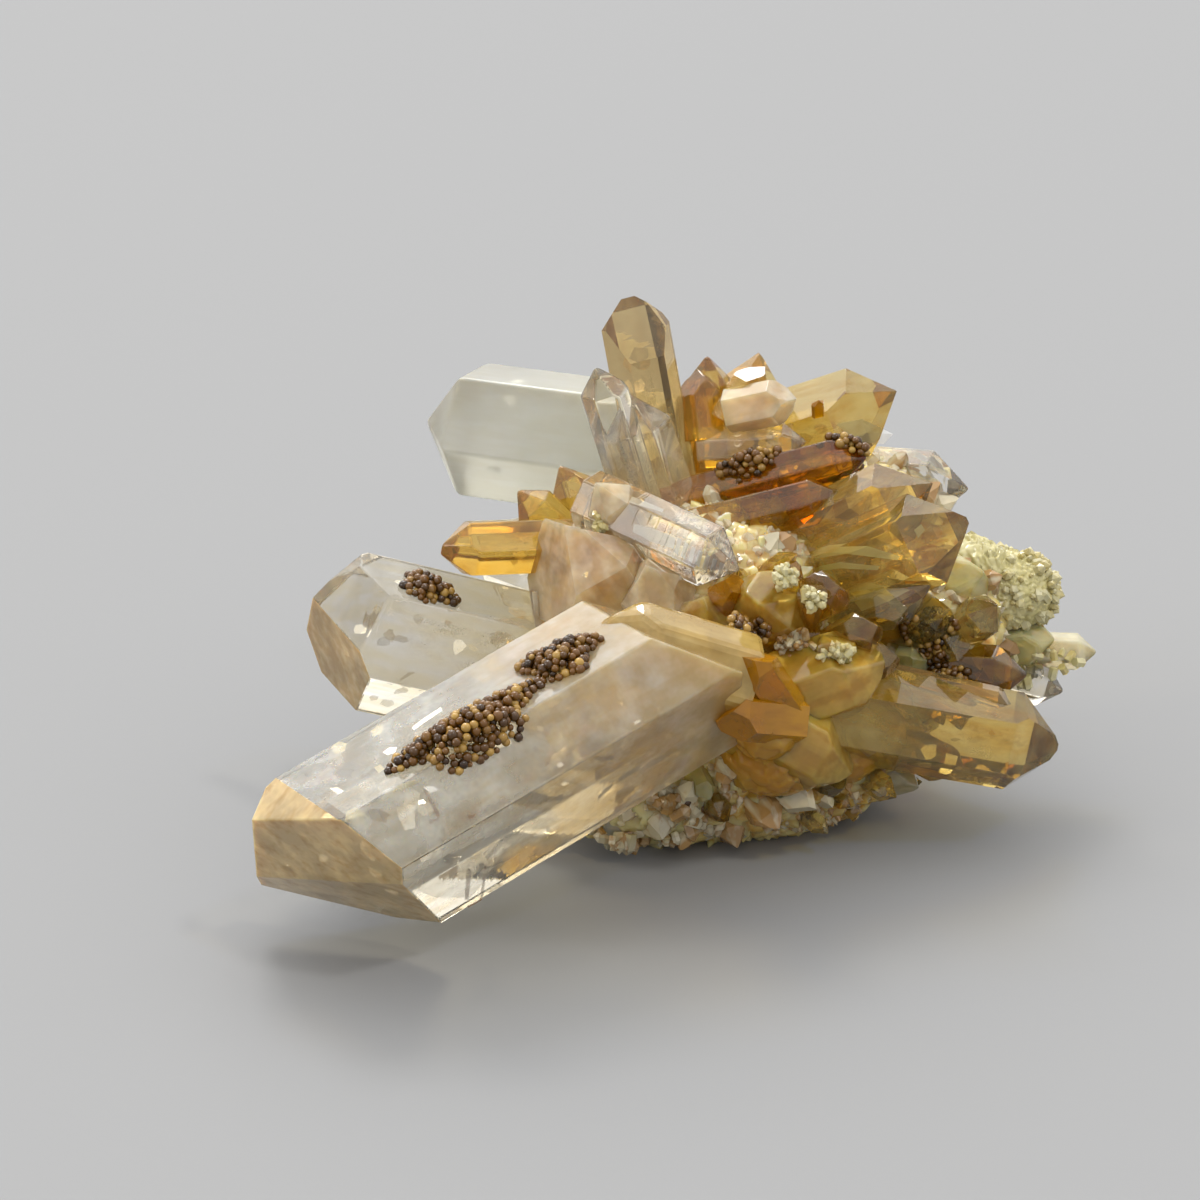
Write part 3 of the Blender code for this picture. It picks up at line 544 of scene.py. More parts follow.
ironStreaks = sheets([
    ("rightLow", (0.05, 0.95), (1.2, -1.7), 1.3, 0.5, 0.15),
    ("rightLow", (0.0, 0.6), (0.2, 0.9), 1.6, 0.3, 0.2),
    ("amberBrown", (0.1, 0.95), (0.5, 0.0), 1.8, 0.2, 0.15),
    ("deepAmber", (0.05, 0.9), (0.4, 0.2), 1.8, 0.2, 0.15),
    ("golden", (0.0, 0.8), (0.3, -0.3), 1.6, 0.2, 0.15), ("tan", (0.1, 0.9), (0.6, -0.6), 1.7, 0.3, 0.2),
    ("tanWindow", (0.0, 0.7), (0.6, 0.8), 1.6, 0.3, 0.2),
    ("tanWindow", (0.55, 0.95), (0.9, 0.0), 2.2, 0.3, 0.2),
    ("amberLeft", (0.3, 0.95), (0.3, 0.3), 1.8, 0.2, 0.15),
    ("rightTop", (0.3, 0.9), (1.4, 0.8), 1.8, 0.3, 0.3),
    ("yellowUpright", (0.1, 0.8), (0.4, 0.2), 1.6, 0.2, 0.2),
    ("pink", (0.0, 0.5), (1.6, -2.0), 3.0, 0.4, 0.3), ("backRight", (0.2, 0.9), (0.5, 0.5), 2.2, 0.4, 0.2)
])

# more sheets by chance, in crystals too coloured to be empty inside
chanceSheets = dict(
    seed=17, low=(0.1, 0.4), long=(0.35, 0.55), off=(-0.4, 0.4), width=(0.5, 1.1), bow=(-0.3, 0.5),
    ripple=0.25, stained=("amber", "deepAmber", "golden", "honey", "pink", "haze", "yellow"),
    pale=("smoky", "silver"))
chance = np.random.default_rng(chanceSheets["seed"])
for label, c in crystals.items():
    wide = (c["sides"][1] if len(c["sides"]) == 2 else 9.0) * 0.5
    kinds = [veils, ironStreaks] if c["finish"] in chanceSheets["stained"] else []
    kinds = [veils] if c["finish"] in chanceSheets["pale"] else kinds
    for kind in kinds:
        low = chance.uniform(*chanceSheets["low"])
        kind.append(dict(
            crystal=label, span=(low, low + chance.uniform(*chanceSheets["long"])),
            off=chance.uniform(*chanceSheets["off"], 2) * wide,
            width=wide * chance.uniform(*chanceSheets["width"]),
            bow=chance.uniform(*chanceSheets["bow"]), ripple=chanceSheets["ripple"]))


def innerSheet(spec, seed):
    # P(u, v) = a point of the axis at u, moved off it, plus v across; it bows by a half sine along u,
    # narrows to its ends and ripples by two crossed sines
    root, tip, axis, toFront, across = crystalFrame(crystals[spec["crystal"]])
    chance = np.random.default_rng(seed)
    rows, columns = 40, 16
    u, v = np.meshgrid(np.linspace(0, 1, rows), np.linspace(-0.5, 0.5, columns), indexing="ij")
    low, high = spec["span"]
    share = low + (high - low) * u
    swell = np.sin(np.pi * u) ** 0.6
    phase = chance.uniform(0, 6.28, 2)  # a whole turn
    ripple = spec["ripple"] * np.sin(u * 9 + phase[0]) * np.cos(v * 7 + phase[1])
    toSide = spec["off"][1] + v * spec["width"] * (0.25 + 0.75 * swell)
    toNear = spec["off"][0] + spec["bow"] * swell + ripple
    points = root + (tip - root) * share[..., None]
    points = points + toFront * toNear[..., None] + across * toSide[..., None]
    corners = points.reshape(-1, 3)
    grid = np.arange(rows * columns).reshape(rows, columns)
    faces = np.stack((grid[:-1, :-1], grid[1:, :-1], grid[1:, 1:], grid[:-1, 1:]), -1).reshape(-1, 4)
    local = np.stack((share * np.linalg.norm(tip - root), toNear, toSide), -1).reshape(-1, 3)
    local = local + chance.uniform(*noiseStart, 3)
    rim = np.minimum(np.minimum(u, 1 - u) * 3, (0.5 - np.abs(v)) * 2.4).clip(0, 1)
    shade = np.full(len(corners), chance.random())
    return dict(corners=corners, faces=faces.tolist(), local=local, along=rim.ravel(), shade=shade)


cracks = dict(
    size=(0.25, 1.1), corners=7, seed=31, span=(0.1, 0.95), off=2.2, lengthwise=0.4, ragged=(0.5, 1.0),
    within=0.3, counts=dict(
        great=34, leftClear=22, tall=7, frontTwin=5, clearStep=8, bright=9, saddle=9, rightLow=12, tan=9,
        tanWindow=12, golden=7, deepAmber=6, rightTop=10, rightClear=9, whiteFacet=9, clearBlock=5, pink=12,
        amberLeft=5, backMilky=6, backLeft=12, backMiddle=10, backRight=10, backLowLeft=8, rightPale=5,
        amberBrown=4))


def crackPlates(name, count, chance):
    # small flat plates inside a crystal: ragged rings of corners round a middle, each turned its own way
    c = crystals[name]
    root, tip, axis, toFront, across = crystalFrame(c)
    normals, reach = crystalPlanes(c, -cracks["within"])
    corners, faces = [], []
    n = cracks["corners"]
    while len(faces) < count:
        spot = root + (tip - root) * chance.uniform(*cracks["span"])
        spot = spot + toFront * chance.normal(0, cracks["off"]) + across * chance.normal(0, cracks["off"])
        size = chance.uniform(*cracks["size"])
        if (normals @ spot > reach - size).any():
            continue
        facing = toFront * chance.normal(0, 1) + across * chance.normal(0, 1)
        facing = unit(facing + axis * chance.normal(0, cracks["lengthwise"]))
        first = unit(np.cross(facing, axis))
        second = np.cross(facing, first)
        turns = (np.arange(n) + chance.uniform(-0.3, 0.3, n)) / n * 2 * np.pi
        far = size * chance.uniform(*cracks["ragged"], n)
        faces.append(list(range(len(corners) * n, len(corners) * n + n)))
        corners.append(spot + np.outer(np.cos(turns) * far, first) + np.outer(np.sin(turns) * far, second))
    corners = np.vstack(corners)
    zeros = np.zeros(len(corners))
    return dict(corners=corners, faces=faces, local=corners, along=zeros, shade=zeros)


def sheetFinish(name, colour, other, amount, grain):
    # a veil or a stain inside quartz: specks that thin out towards the sheet's rim
    m = newMaterial(name)
    local = attribute(m, "local", "Vector")
    wisps = noise(m, stretched(m, local, 0.35, 1.0, 1.0), 0.9, 6.0, 0.65)
    specks = noise(m, local, grain, 2.0)
    thick = mapped(m, wisps, (0.45, 0.72))
    fine = mapped(m, specks, (0.35, 0.65), (0.35, 1.0))
    held = calculate(m, "MULTIPLY", calculate(m, "MULTIPLY", thick, fine), attribute(m, "along"))
    shaded(
        m, Base_Color=blended(m, wisps, linear(colour), linear(other)), Roughness=0.5, IOR=1.1,
        Transmission_Weight=0.5, Alpha=calculate(m, "MULTIPLY", held, amount))
    return m


def plainMark(name, colour, alpha, metallic=0.0, rough=0.4):
    # a fleck, a thin line or a flash; an open crack in quartz mirrors part of the light and lets the
    # rest by. It also makes the painted sheen and painted highlights: pale patches standing in for
    # reflected light.
    m = newMaterial(name)
    shaded(m, Base_Color=linear(colour), Metallic=metallic, Roughness=rough, Alpha=alpha)
    return m


madePiece(
    "veils", [innerSheet(v, 40 + k) for k, v in enumerate(veils)],
    [sheetFinish("bubble_veil", "fffdf6", "f8ecd0", 0.8, 6.0)], smooth=True)
madePiece(
    "iron_streaks", [innerSheet(v, 80 + k) for k, v in enumerate(ironStreaks)],
    [sheetFinish("iron_stain", "e8b030", "b07c14", 1.0, 3.0)], smooth=True)

# Small marks just under the faces of the great crystal, by the pixels of their corners: cream flecks,
# among them a painted gleam, brown lines, tan smears, flashes and a painted sheen of pale bluish
# reflection.
marks = dict(
    sunk=0.1,
    cream_and_painted_gleam=[
        [(347, 812), (356, 808), (366, 815), (364, 824), (352, 826), (345, 820)],
        # these three thin strips in a line are a painted gleam, pale streaks painted where the crystal
        # shows light
        [(597, 796), (604, 788), (612, 783), (611, 787), (604, 793), (598, 799)],
        [(618, 778), (628, 770), (640, 764), (639, 768), (629, 775), (619, 781)],
        [(646, 764), (658, 756), (672, 750), (671, 753), (659, 761), (647, 768)],
        [(331, 748), (338, 742), (347, 744), (345, 752), (335, 755)],
        [(371, 732), (378, 726), (384, 727), (382, 734), (374, 737)],
        [(374, 768), (381, 765), (385, 770), (379, 774)],
        [(384, 795), (400, 785), (420, 778), (422, 781), (404, 790), (388, 798)]],
    brown=[
        [(423, 790), (426, 789), (441, 816), (438, 819)], [(438, 818), (440, 820), (429, 824), (428, 821)],
        [(466, 868), (471, 868), (468, 899), (464, 899)], [(484, 865), (487, 864), (482, 900), (479, 901)],
        [(479, 901), (482, 900), (468, 908), (466, 905)],
        [(588, 752), (600, 757), (614, 755), (614, 758), (600, 761), (588, 755)]],
    tan=[
        [(446, 824), (455, 810), (500, 792), (524, 798), (474, 822), (456, 832)],
        [(503, 787), (515, 772), (545, 766), (556, 773), (532, 782), (510, 794)],
        [(296, 780), (330, 766), (356, 768), (347, 782), (308, 790)],
        [(321, 764), (360, 753), (389, 755), (377, 767), (333, 772)],
        [(640, 650), (652, 640), (660, 690), (648, 705), (636, 690)]],
    flash=[
        [(484, 857), (492, 848), (500, 838), (512, 830), (514, 833), (503, 842), (494, 853), (487, 859)],
        [(383, 753), (390, 748), (397, 748), (396, 753), (388, 756)],
        [(412, 728), (425, 718), (441, 708), (443, 711), (428, 721), (414, 731)],
        [(330, 789), (338, 788), (344, 792), (338, 795)], [(423, 787), (433, 786), (438, 790), (430, 793)],
        [(556, 765), (561, 762), (564, 765), (559, 768)], [(633, 722), (640, 719), (641, 722), (635, 725)]],
    # painted sheen: a pale bluish patch painted along the lower faces where they show reflected light
    painted_sheen=[[
        (395, 880), (440, 858), (490, 834), (548, 806), (560, 818), (520, 850), (492, 872), (470, 897),
        (436, 897)]])
# Painted highlights: near-white patches and the bars of a ladder just under faces of four crystals, by the
# pixels of their corners, painted where those faces show glints, silvery streaks and bright facets.
highlightLadder = [
    [(678 + x, 538 + y), (682 + x, 540 + y), (678 + x, 555 + y), (674 + x, 552 + y)]
    for x, y in ((7 * k, 4 * k) for k in range(7))]
whiteFaces = dict(
    bright=[
        [(634, 524), (652, 528), (676, 538), (674, 549), (650, 541), (633, 532)],
        [(592, 488), (600, 486), (640, 500), (664, 510), (662, 513), (636, 505), (598, 492)]] + highlightLadder,
    rightTop=[[(836, 424), (862, 419), (893, 434), (884, 444), (856, 442)]],
    tanWindow=[
        [(792, 556), (830, 546), (868, 546), (900, 556), (898, 560), (866, 552), (830, 553), (794, 561)],
        [(800, 570), (840, 562), (880, 566), (878, 570), (840, 567), (802, 574)],
        [(914, 530), (921, 524), (925, 530), (918, 538)]],
    whiteFacet=[[(850, 581), (880, 584), (910, 590), (888, 602), (866, 611), (856, 598)]])


def marksPart(name, outlines):
    # flat patches where the lines of sight enter the crystal, each a fan round its middle,
    # which fades to its rim
    normals, reach = crystalPlanes(crystals[name], -marks["sunk"])
    corners, faces, along = [], [], []
    for outline in outlines:
        aims = np.array([fromPixel(x, y, 0.0) for x, y in [np.mean(outline, 0), *outline]]) - eye
        meet = (reach - normals @ eye) / (aims @ normals.T)
        enter = np.where(aims @ normals.T < 0, meet, -np.inf).max(1)
        base, n = len(corners), len(outline)
        corners += list(eye + aims * enter[:, None])
        along += [1.0] + [0.0] * n
        faces += [(base, base + 1 + k, base + 1 + (k + 1) % n) for k in range(n)]
    corners = np.array(corners)
    shade = np.zeros(len(corners))
    return dict(corners=corners, faces=faces, local=corners, along=np.array(along), shade=shade)


# The pale sheen is painted reflection, the bright faces are painted highlights and some cream flecks are
# painted gleams; the other marks lie in the quartz.
markFinishes = dict(
    cream_and_painted_gleam=plainMark("cream_fleck_and_painted_gleam", "fff2c4", 0.8), brown=plainMark("brown_line", "a07038", 0.6),
    tan=sheetFinish("tan_smear", "b07c48", "8c5c30", 1.6, 2.0),
    flash=plainMark("flash_in_quartz", "fdfbf6", 0.75, 1.0, 0.1),
    painted_sheen=plainMark("painted_bluish_reflection", "eef2fa", 0.3), white=plainMark("painted_highlight_face", "fffefa", 0.55))
for kind in ("cream_and_painted_gleam", "brown", "tan", "flash", "painted_sheen"):
    madePiece("marks_" + kind, [marksPart("great", marks[kind])], [markFinishes[kind]])
# the painted highlights of all four crystals, in one piece
whiteParts = [marksPart(name, outlines) for name, outlines in whiteFaces.items()]
madePiece("marks_white", whiteParts, [markFinishes["white"]])
chance = np.random.default_rng(cracks["seed"])
crackParts = [crackPlates(name, count, chance) for name, count in cracks["counts"].items()]
crackMaterial = plainMark("crack_in_quartz", "fdfbf6", 0.45, 1.0, 0.12)
madePiece("cracks", crackParts, [crackMaterial])
print("inclusions made")

# The milky root under the crystals: ellipsoids with their middle and half sizes.
rootMass = dict(
    centre=(5.0, 1.0, 10.0), columns=420, rows=200, cells=2600, knob=1.0, knobRise=0.35, lean=0.4, blend=40,
    lumps=[
        ((3.5, 1.5, 6.0), (14.0, 10.0, 7.5)), ((4.0, 3.0, 14.0), (10.4, 8.4, 8.2)),
        ((17.5, 3.0, 13.0), (6.0, 5.0, 5.5)), ((13.0, 9.0, 18.0), (7.0, 5.4, 5.5)),
        ((6.0, -1.6, 10.6), (6.6, 5.2, 6.0)), ((-1.0, -2.5, 4.4), (8.5, 6.6, 4.6))])


def lumpReach(mass, ways):
    # how far a ray from the centre goes until it leaves the last lump, the lumps blended by a power mean
    centre = np.array(mass["centre"])
    total = np.zeros(len(ways))
    for lumpMiddle, half in mass["lumps"]:
        offset = (centre - np.array(lumpMiddle)) / half
        d = ways / half
        a = np.sum(d * d, 1)
        b = np.sum(d * offset, 1)
        inner = b * b - a * (offset @ offset - 1)
        out = np.where(inner > 0, (-b + np.sqrt(np.maximum(inner, 0))) / a, 0)
        total += np.maximum(out, 0) ** mass["blend"]
    return np.maximum(total, 1e-9) ** (1 / mass["blend"]), centre


iron = dict(middle=(10.5, -2.0, 10.5), half=(12.0, 14.0, 12.0), full=1.25)


def warmth(points):
    # how much iron colours the quartz: most round the middle of the fan, least at the foot and far left
    gap = np.linalg.norm((points - np.array(iron["middle"])) / iron["half"], axis=1)
    return np.clip(iron["full"] - gap, 0, 1)


def aboveFloor(reach, ways, centre):
    # the reach of rays that go down ends where they meet the floor
    floorReach = np.where(ways[:, 2] < -1e-6, centre[2] / np.maximum(-ways[:, 2], 1e-6), 1e9)
    return np.minimum(reach, floorReach)


def nearestCell(points, cells):
    # the nearest cell to each point and the way from it, one batch of points at a time
    nearest = np.empty(len(points), int)
    batch = 1500
    for first in range(0, len(points), batch):
        gap = points[first:first + batch, None, :] - cells[None]
        nearest[first:first + batch] = np.einsum("ijk,ijk->ij", gap, gap).argmin(1)
    return nearest, points - cells[nearest]


def ringWays(columns, falls):
    # ways in rings round the upright, one ring for each fall from the top
    turn, fall = np.meshgrid(np.arange(columns) / columns * 2 * np.pi, falls)
    return np.stack((np.sin(fall) * np.cos(turn), np.sin(fall) * np.sin(turn), np.cos(fall)), -1)


def ringFaces(columns, rows):
    # the faces of a closed skin of rings, with one more point at the top and one at the foot
    grid = np.arange(columns * rows).reshape(rows, columns)
    over = np.roll(grid, -1, 1)
    faces = np.stack((grid[:-1], grid[1:], over[1:], over[:-1]), -1).reshape(-1, 4).tolist()
    faces += [(grid.size, int(a), int(b)) for a, b in zip(grid[0], over[0])]
    faces += [(grid.size + 1, int(b), int(a)) for a, b in zip(grid[-1], over[-1])]
    return faces


skin = dict(seed=3, stray=0.02, groove=-0.6, along=0.35)


def lumpPart(mass):
    # a closed skin round the lumps: its reach along every bearing and fall, raised into small knobs, each
    # a facet that leans its own way, over cells spread by the golden angle
    columns, rows = mass["columns"], mass["rows"]
    falls = (np.arange(rows) + 0.5) / rows * np.pi
    ways = ringWays(columns, falls).reshape(-1, 3)
    reach, centre = lumpReach(mass, ways)
    chance = np.random.default_rng(skin["seed"])
    cellWays = spreadWays(mass["cells"])
    cellWays = unit(cellWays + chance.normal(0, skin["stray"], cellWays.shape))
    cellReach, _ = lumpReach(mass, cellWays)
    nearest, off = nearestCell(centre + ways * reach[:, None], centre + cellWays * cellReach[:, None])
    near = np.linalg.norm(off, axis=1)
    lean = np.sum(off * chance.normal(0, mass["lean"], cellWays.shape)[nearest], 1)
    reach = reach + mass["knobRise"] * (1 - (near / mass["knob"]) ** 2).clip(skin["groove"], 1) + lean
    reach = aboveFloor(reach, ways, centre)
    points = centre + ways * reach[:, None]
    corners = np.vstack((points, points[:columns].mean(0), points[-columns:].mean(0)))
    along = np.full(len(corners), skin["along"])
    return dict(corners=corners, faces=ringFaces(columns, rows), local=corners, along=along)


rootPart = lumpPart(rootMass)
rootPart["shade"] = warmth(rootPart["corners"])
madePiece("milky_root", [rootPart], [materials["root"]], smooth=True)

# the honey quartz in the middle, where crystals run into each other
heartMass = dict(
    centre=fromPixel(785, 705, -6.5), columns=260, rows=130, cells=500, knob=2.0, knobRise=0.2, lean=0.22,
    blend=20, lumps=[
        (fromPixel(795, 700, -3.5), (5.0, 5.4, 4.4)), (fromPixel(765, 705, -8), (3.0, 5.6, 3.2)),
        (fromPixel(822, 728, -3.5), (5.4, 5.2, 3.6)), (fromPixel(775, 742, -7), (4.2, 4.4, 3.4))])
heartPart = lumpPart(heartMass)
heartPart["shade"] = warmth(heartPart["corners"])
madePiece("honey_heart", [heartPart], [materials["heart"]], smooth=True)

# the yellow frosted quartz at the right
frostMass = dict(
    centre=fromPixel(995, 595, 5.5), columns=260, rows=130, cells=1500, knob=0.8, knobRise=0.3, lean=0.5,
    blend=20, lumps=[
        (fromPixel(1000, 592, 5.5), (3.6, 2.6, 2.8)), (fromPixel(965, 570, 5), (3.0, 2.5, 2.3))])
frostPart = lumpPart(frostMass)
frostPart["shade"] = np.random.default_rng(9).random(len(frostPart["corners"])) * 0.3
madePiece("frosted_right", [frostPart], [materials["frost"]], smooth=True)
print("root made")

# druse: small crystals over the root, standing outwards
druse = dict(
    count=420, length=(0.6, 2.2), width=(1.0, 2.4), seed=11, lowest=1.8, rooted=2.5, lean=(-0.5, 0.5),
    drops=(0, 0.3, 0, 0.2, 0, 0.1), noiseSeed=100, groups=("sugar", "golden", "amber", "yellow"),
    coolest=0.35, cool="sugar", warm=("golden", "amber", "yellow", "golden", "sugar"))


def druseCrystals():
    dice = random.Random(druse["seed"])
    made = []
    lumps = rootMass["lumps"]
    for index, outward in enumerate(spreadWays(druse["count"])):
        lumpMiddle, half = (np.array(v) for v in lumps[index % len(lumps)])
        foot = lumpMiddle + outward * half
        lean = np.array([dice.uniform(*druse["lean"]) for _ in range(3)])
        length = dice.uniform(*druse["length"])
        width = dice.uniform(*druse["width"])
        roll = dice.uniform(0, 60)
        way = unit(unit(outward / half) + lean)
        if foot[2] >= druse["lowest"]:
            made.append(dict(
                root=foot - way * druse["rooted"], tip=foot + way * length, sides=(width, width), roll=roll,
                drops=druse["drops"]))
    return made


def crystalGroups(name, listed, spec):
    # crystals sorted into finishes: those less warm than the coolest take the cool one, or are left out
    # where there is none, and the others take the warm ones by turns
    groups = {kind: [] for kind in spec["groups"]}
    for number, c in enumerate(listed):
        isCool = warmth(c["tip"][None])[0] < spec["coolest"]
        kind = spec["cool"] if isCool else spec["warm"][number % len(spec["warm"])]
        if kind:
            groups[kind].append(crystalPart(c, spec["noiseSeed"] + number))
    for kind, group in groups.items():
        madePiece(name + kind, group, [materials[kind]])


crystalGroups("druse_", druseCrystals(), druse)

# blades: thin crystals that fill the fan between the big ones, leaning out to the right
blades = dict(
    count=260, width=(1.0, 2.8), flat=(0.5, 0.95), length=(3.0, 5.5), out=(0.8, 3.2), seed=21,
    toRight=(0.7, -0.1, 0.0), lean=0.25, raised=0.4, drops=(0, 0.8), lowestFoot=3.0, lowestTip=1.5,
    noiseSeed=400, groups=("sugar", "golden", "amber", "honey", "yellow"), coolest=0.2, cool=None,
    warm=("golden", "amber", "honey", "golden", "yellow", "sugar", "amber"))


def bladeCrystals():
    dice = np.random.default_rng(blades["seed"])
    made = []
    for way in spreadWays(blades["count"]):
        reach, centre = lumpReach(rootMass, way[None])
        foot = centre + way * reach[0]
        lean = unit(way + np.array(blades["toRight"]) + dice.normal(0, blades["lean"], 3))
        out = dice.uniform(*blades["out"])
        length = dice.uniform(*blades["length"])
        width = dice.uniform(*blades["width"])
        thick = width * dice.uniform(*blades["flat"])
        roll = dice.uniform(0, 60)
        drops = dice.uniform(*blades["drops"], 6)
        tip = foot + way * blades["raised"] + lean * out
        if foot[2] >= blades["lowestFoot"] and tip[2] >= blades["lowestTip"]:
            made.append(dict(
                root=tip - lean * (length + out), tip=tip, sides=(thick, width), roll=roll, drops=drops))
    return made


crystalGroups("blades_", bladeCrystals(), blades)

# sugar: very small crystals all over the root, each a six-sided prism with a pointed tip
sugar = dict(
    count=2400, width=(0.4, 1.15), length=(0.45, 0.95), seed=5, sunk=0.05, lowest=1.0, lean=0.4, warm=0.8,
    spread=0.3)
ring = np.radians(60 * np.arange(6))
hexRing = np.stack((np.cos(ring), np.sin(ring), np.zeros(6)), 1)
smallCrystal = np.vstack((hexRing * 0.5 + (0, 0, -1.0), hexRing * 0.5 + (0, 0, 0.45), ((0, 0, 1.0),)))
smallAlong = np.where(smallCrystal[:, 2] > 0, 1.0, 0.3)
smallFaces = [(5, 4, 3, 2, 1, 0)] + [(k, (k + 1) % 6, 6 + (k + 1) % 6, 6 + k) for k in range(6)]
smallFaces += [(6 + k, 6 + (k + 1) % 6, 12) for k in range(6)]


def turnsTo(ways, widths, lengths, chance):
    # three axes for each copy: its length along its way, its width across, turned by chance
    helper = chance.normal(size=ways.shape)
    first = unit(helper - ways * np.sum(helper * ways, 1)[:, None])
    second = np.cross(ways, first)
    return np.stack((first * widths[:, None], second * widths[:, None], ways * lengths[:, None]), -1)


def smallCrystals(ways, widths, lengths, places, chance, warm=0.0, spread=1.0):
    # copies of the small crystal, shaded by how warm each place is and by chance
    turns = turnsTo(ways, widths, lengths, chance)
    local = chance.uniform(*noiseStart, (len(places), 3))
    shade = warm + chance.random(len(places)) * spread
    return copiesPart(smallCrystal, smallFaces, turns, places, local, smallAlong, shade)


chance = np.random.default_rng(sugar["seed"])
ways = unit(chance.normal(size=(sugar["count"], 3)))
sugarReach, centre = lumpReach(rootMass, ways)
places = centre + ways * (aboveFloor(sugarReach, ways, centre) - sugar["sunk"])[:, None]
keep = places[:, 2] > sugar["lowest"]
ways, places = ways[keep], places[keep]
leaning = unit(ways + chance.normal(0, sugar["lean"], ways.shape))
widths = chance.uniform(*sugar["width"], len(ways))
lengths = chance.uniform(*sugar["length"], len(ways))
part = smallCrystals(
    leaning, widths, lengths, places, chance, warmth(places) * sugar["warm"], sugar["spread"])
madePiece("sugar", [part], [materials["sugar"]])

# frost: patches of very small crystals on rounded lumps, each lump given by the pixel of its middle and
# its half sizes. Without a depth, its middle is where the line of sight first meets a crystal, and the
# small crystals fill the lump.
frostPatches = [
    dict(kind="frost", pixel=(1006, 590), depth=5.4, half=(3.7, 2.7, 2.9), count=220, size=(0.3, 0.85)),
    dict(kind="frost", pixel=(1035, 668), depth=3.5, half=(3.6, 2.5, 1.2), count=110, size=(0.4, 0.8)),
    dict(kind="frost", pixel=(785, 577), half=(0.8, 0.8, 0.8), count=34, size=(0.35, 0.65)),
    dict(kind="frost", pixel=(812, 600), half=(0.9, 0.8, 1.0), count=40, size=(0.35, 0.65)),
    dict(kind="frost", pixel=(836, 655), half=(1.3, 0.8, 0.7), count=44, size=(0.3, 0.6)),
    dict(kind="sugar", pixel=(797, 645), half=(1.5, 0.8, 1.1), count=60, size=(0.3, 0.6)),
    dict(kind="sugar", pixel=(640, 812), depth=-8.0, half=(4.2, 2.6, 2.3), count=260, size=(0.45, 1.15)),
    dict(kind="frost", pixel=(600, 522), half=(0.5, 0.5, 0.7), count=24, size=(0.3, 0.55)),
]


def firstHit(x, y):
    # the point where the line of sight at a pixel first meets a crystal: it has passed the last of the
    # faces turned to the eye and none of the others
    aim = fromPixel(x, y, 0.0) - eye
    nearest = 1e9
    for c in crystals.values():
        normals, reach = crystalPlanes(c)
        slope = normals @ aim
        meet = (reach - normals @ eye) / slope
        enter = meet[slope < 0].max()
        if enter < meet[slope > 0].min():
            nearest = min(nearest, enter)
    return eye + aim * nearest


def rooted(points, gap):
    # whether each point lies in a crystal or a lump of the root, or within a gap of one
    held = np.zeros(len(points), bool)
    for c in crystals.values():
        normals, reach = crystalPlanes(c, gap)
        held |= (points @ normals.T <= reach).all(1)
    for lumpMiddle, half in rootMass["lumps"] + frostMass["lumps"]:
        held |= np.linalg.norm((points - np.array(lumpMiddle)) / (np.array(half) + gap), axis=1) < 1
    return held


patches = dict(seed=60, lean=0.35, lowest=1.2, gap=0.8, flat=0.8)


def patchPart(patch, chance):
    ways = unit(chance.normal(size=(patch["count"], 3)))
    half = np.array(patch["half"])
    if "depth" in patch:
        places = fromPixel(*patch["pixel"], patch["depth"]) + ways * half
    else:
        places = firstHit(*patch["pixel"]) + ways * half * chance.random((len(ways), 1)) ** 0.4
    outward = unit(unit(ways / half) + chance.normal(0, patches["lean"], ways.shape))
    keep = (places[:, 2] > patches["lowest"]) & rooted(places, patches["gap"])
    sizes = chance.uniform(*patch["size"], keep.sum())
    return smallCrystals(outward[keep], sizes, sizes * patches["flat"], places[keep], chance)


for kind in ("frost", "sugar"):
    group = [
        patchPart(patch, np.random.default_rng(patches["seed"] + number))
        for number, patch in enumerate(frostPatches) if patch["kind"] == kind]
    madePiece("patches_" + kind, group, [materials[kind]])
print("druse made")

# Beaded clumps: balls of goethite, a brown iron mineral, grown as crowded beads with a waxy gloss.
beads = dict(
    size=0.62, sizes=(0.72, 1.25), apart=0.42, tries=3000, seed=8, tones=("2a1804", "644010", "b08c44"),
    rough=0.16, ior=1.5, start=3.0, reach=6.0, height=1.1, sunk=0.1)
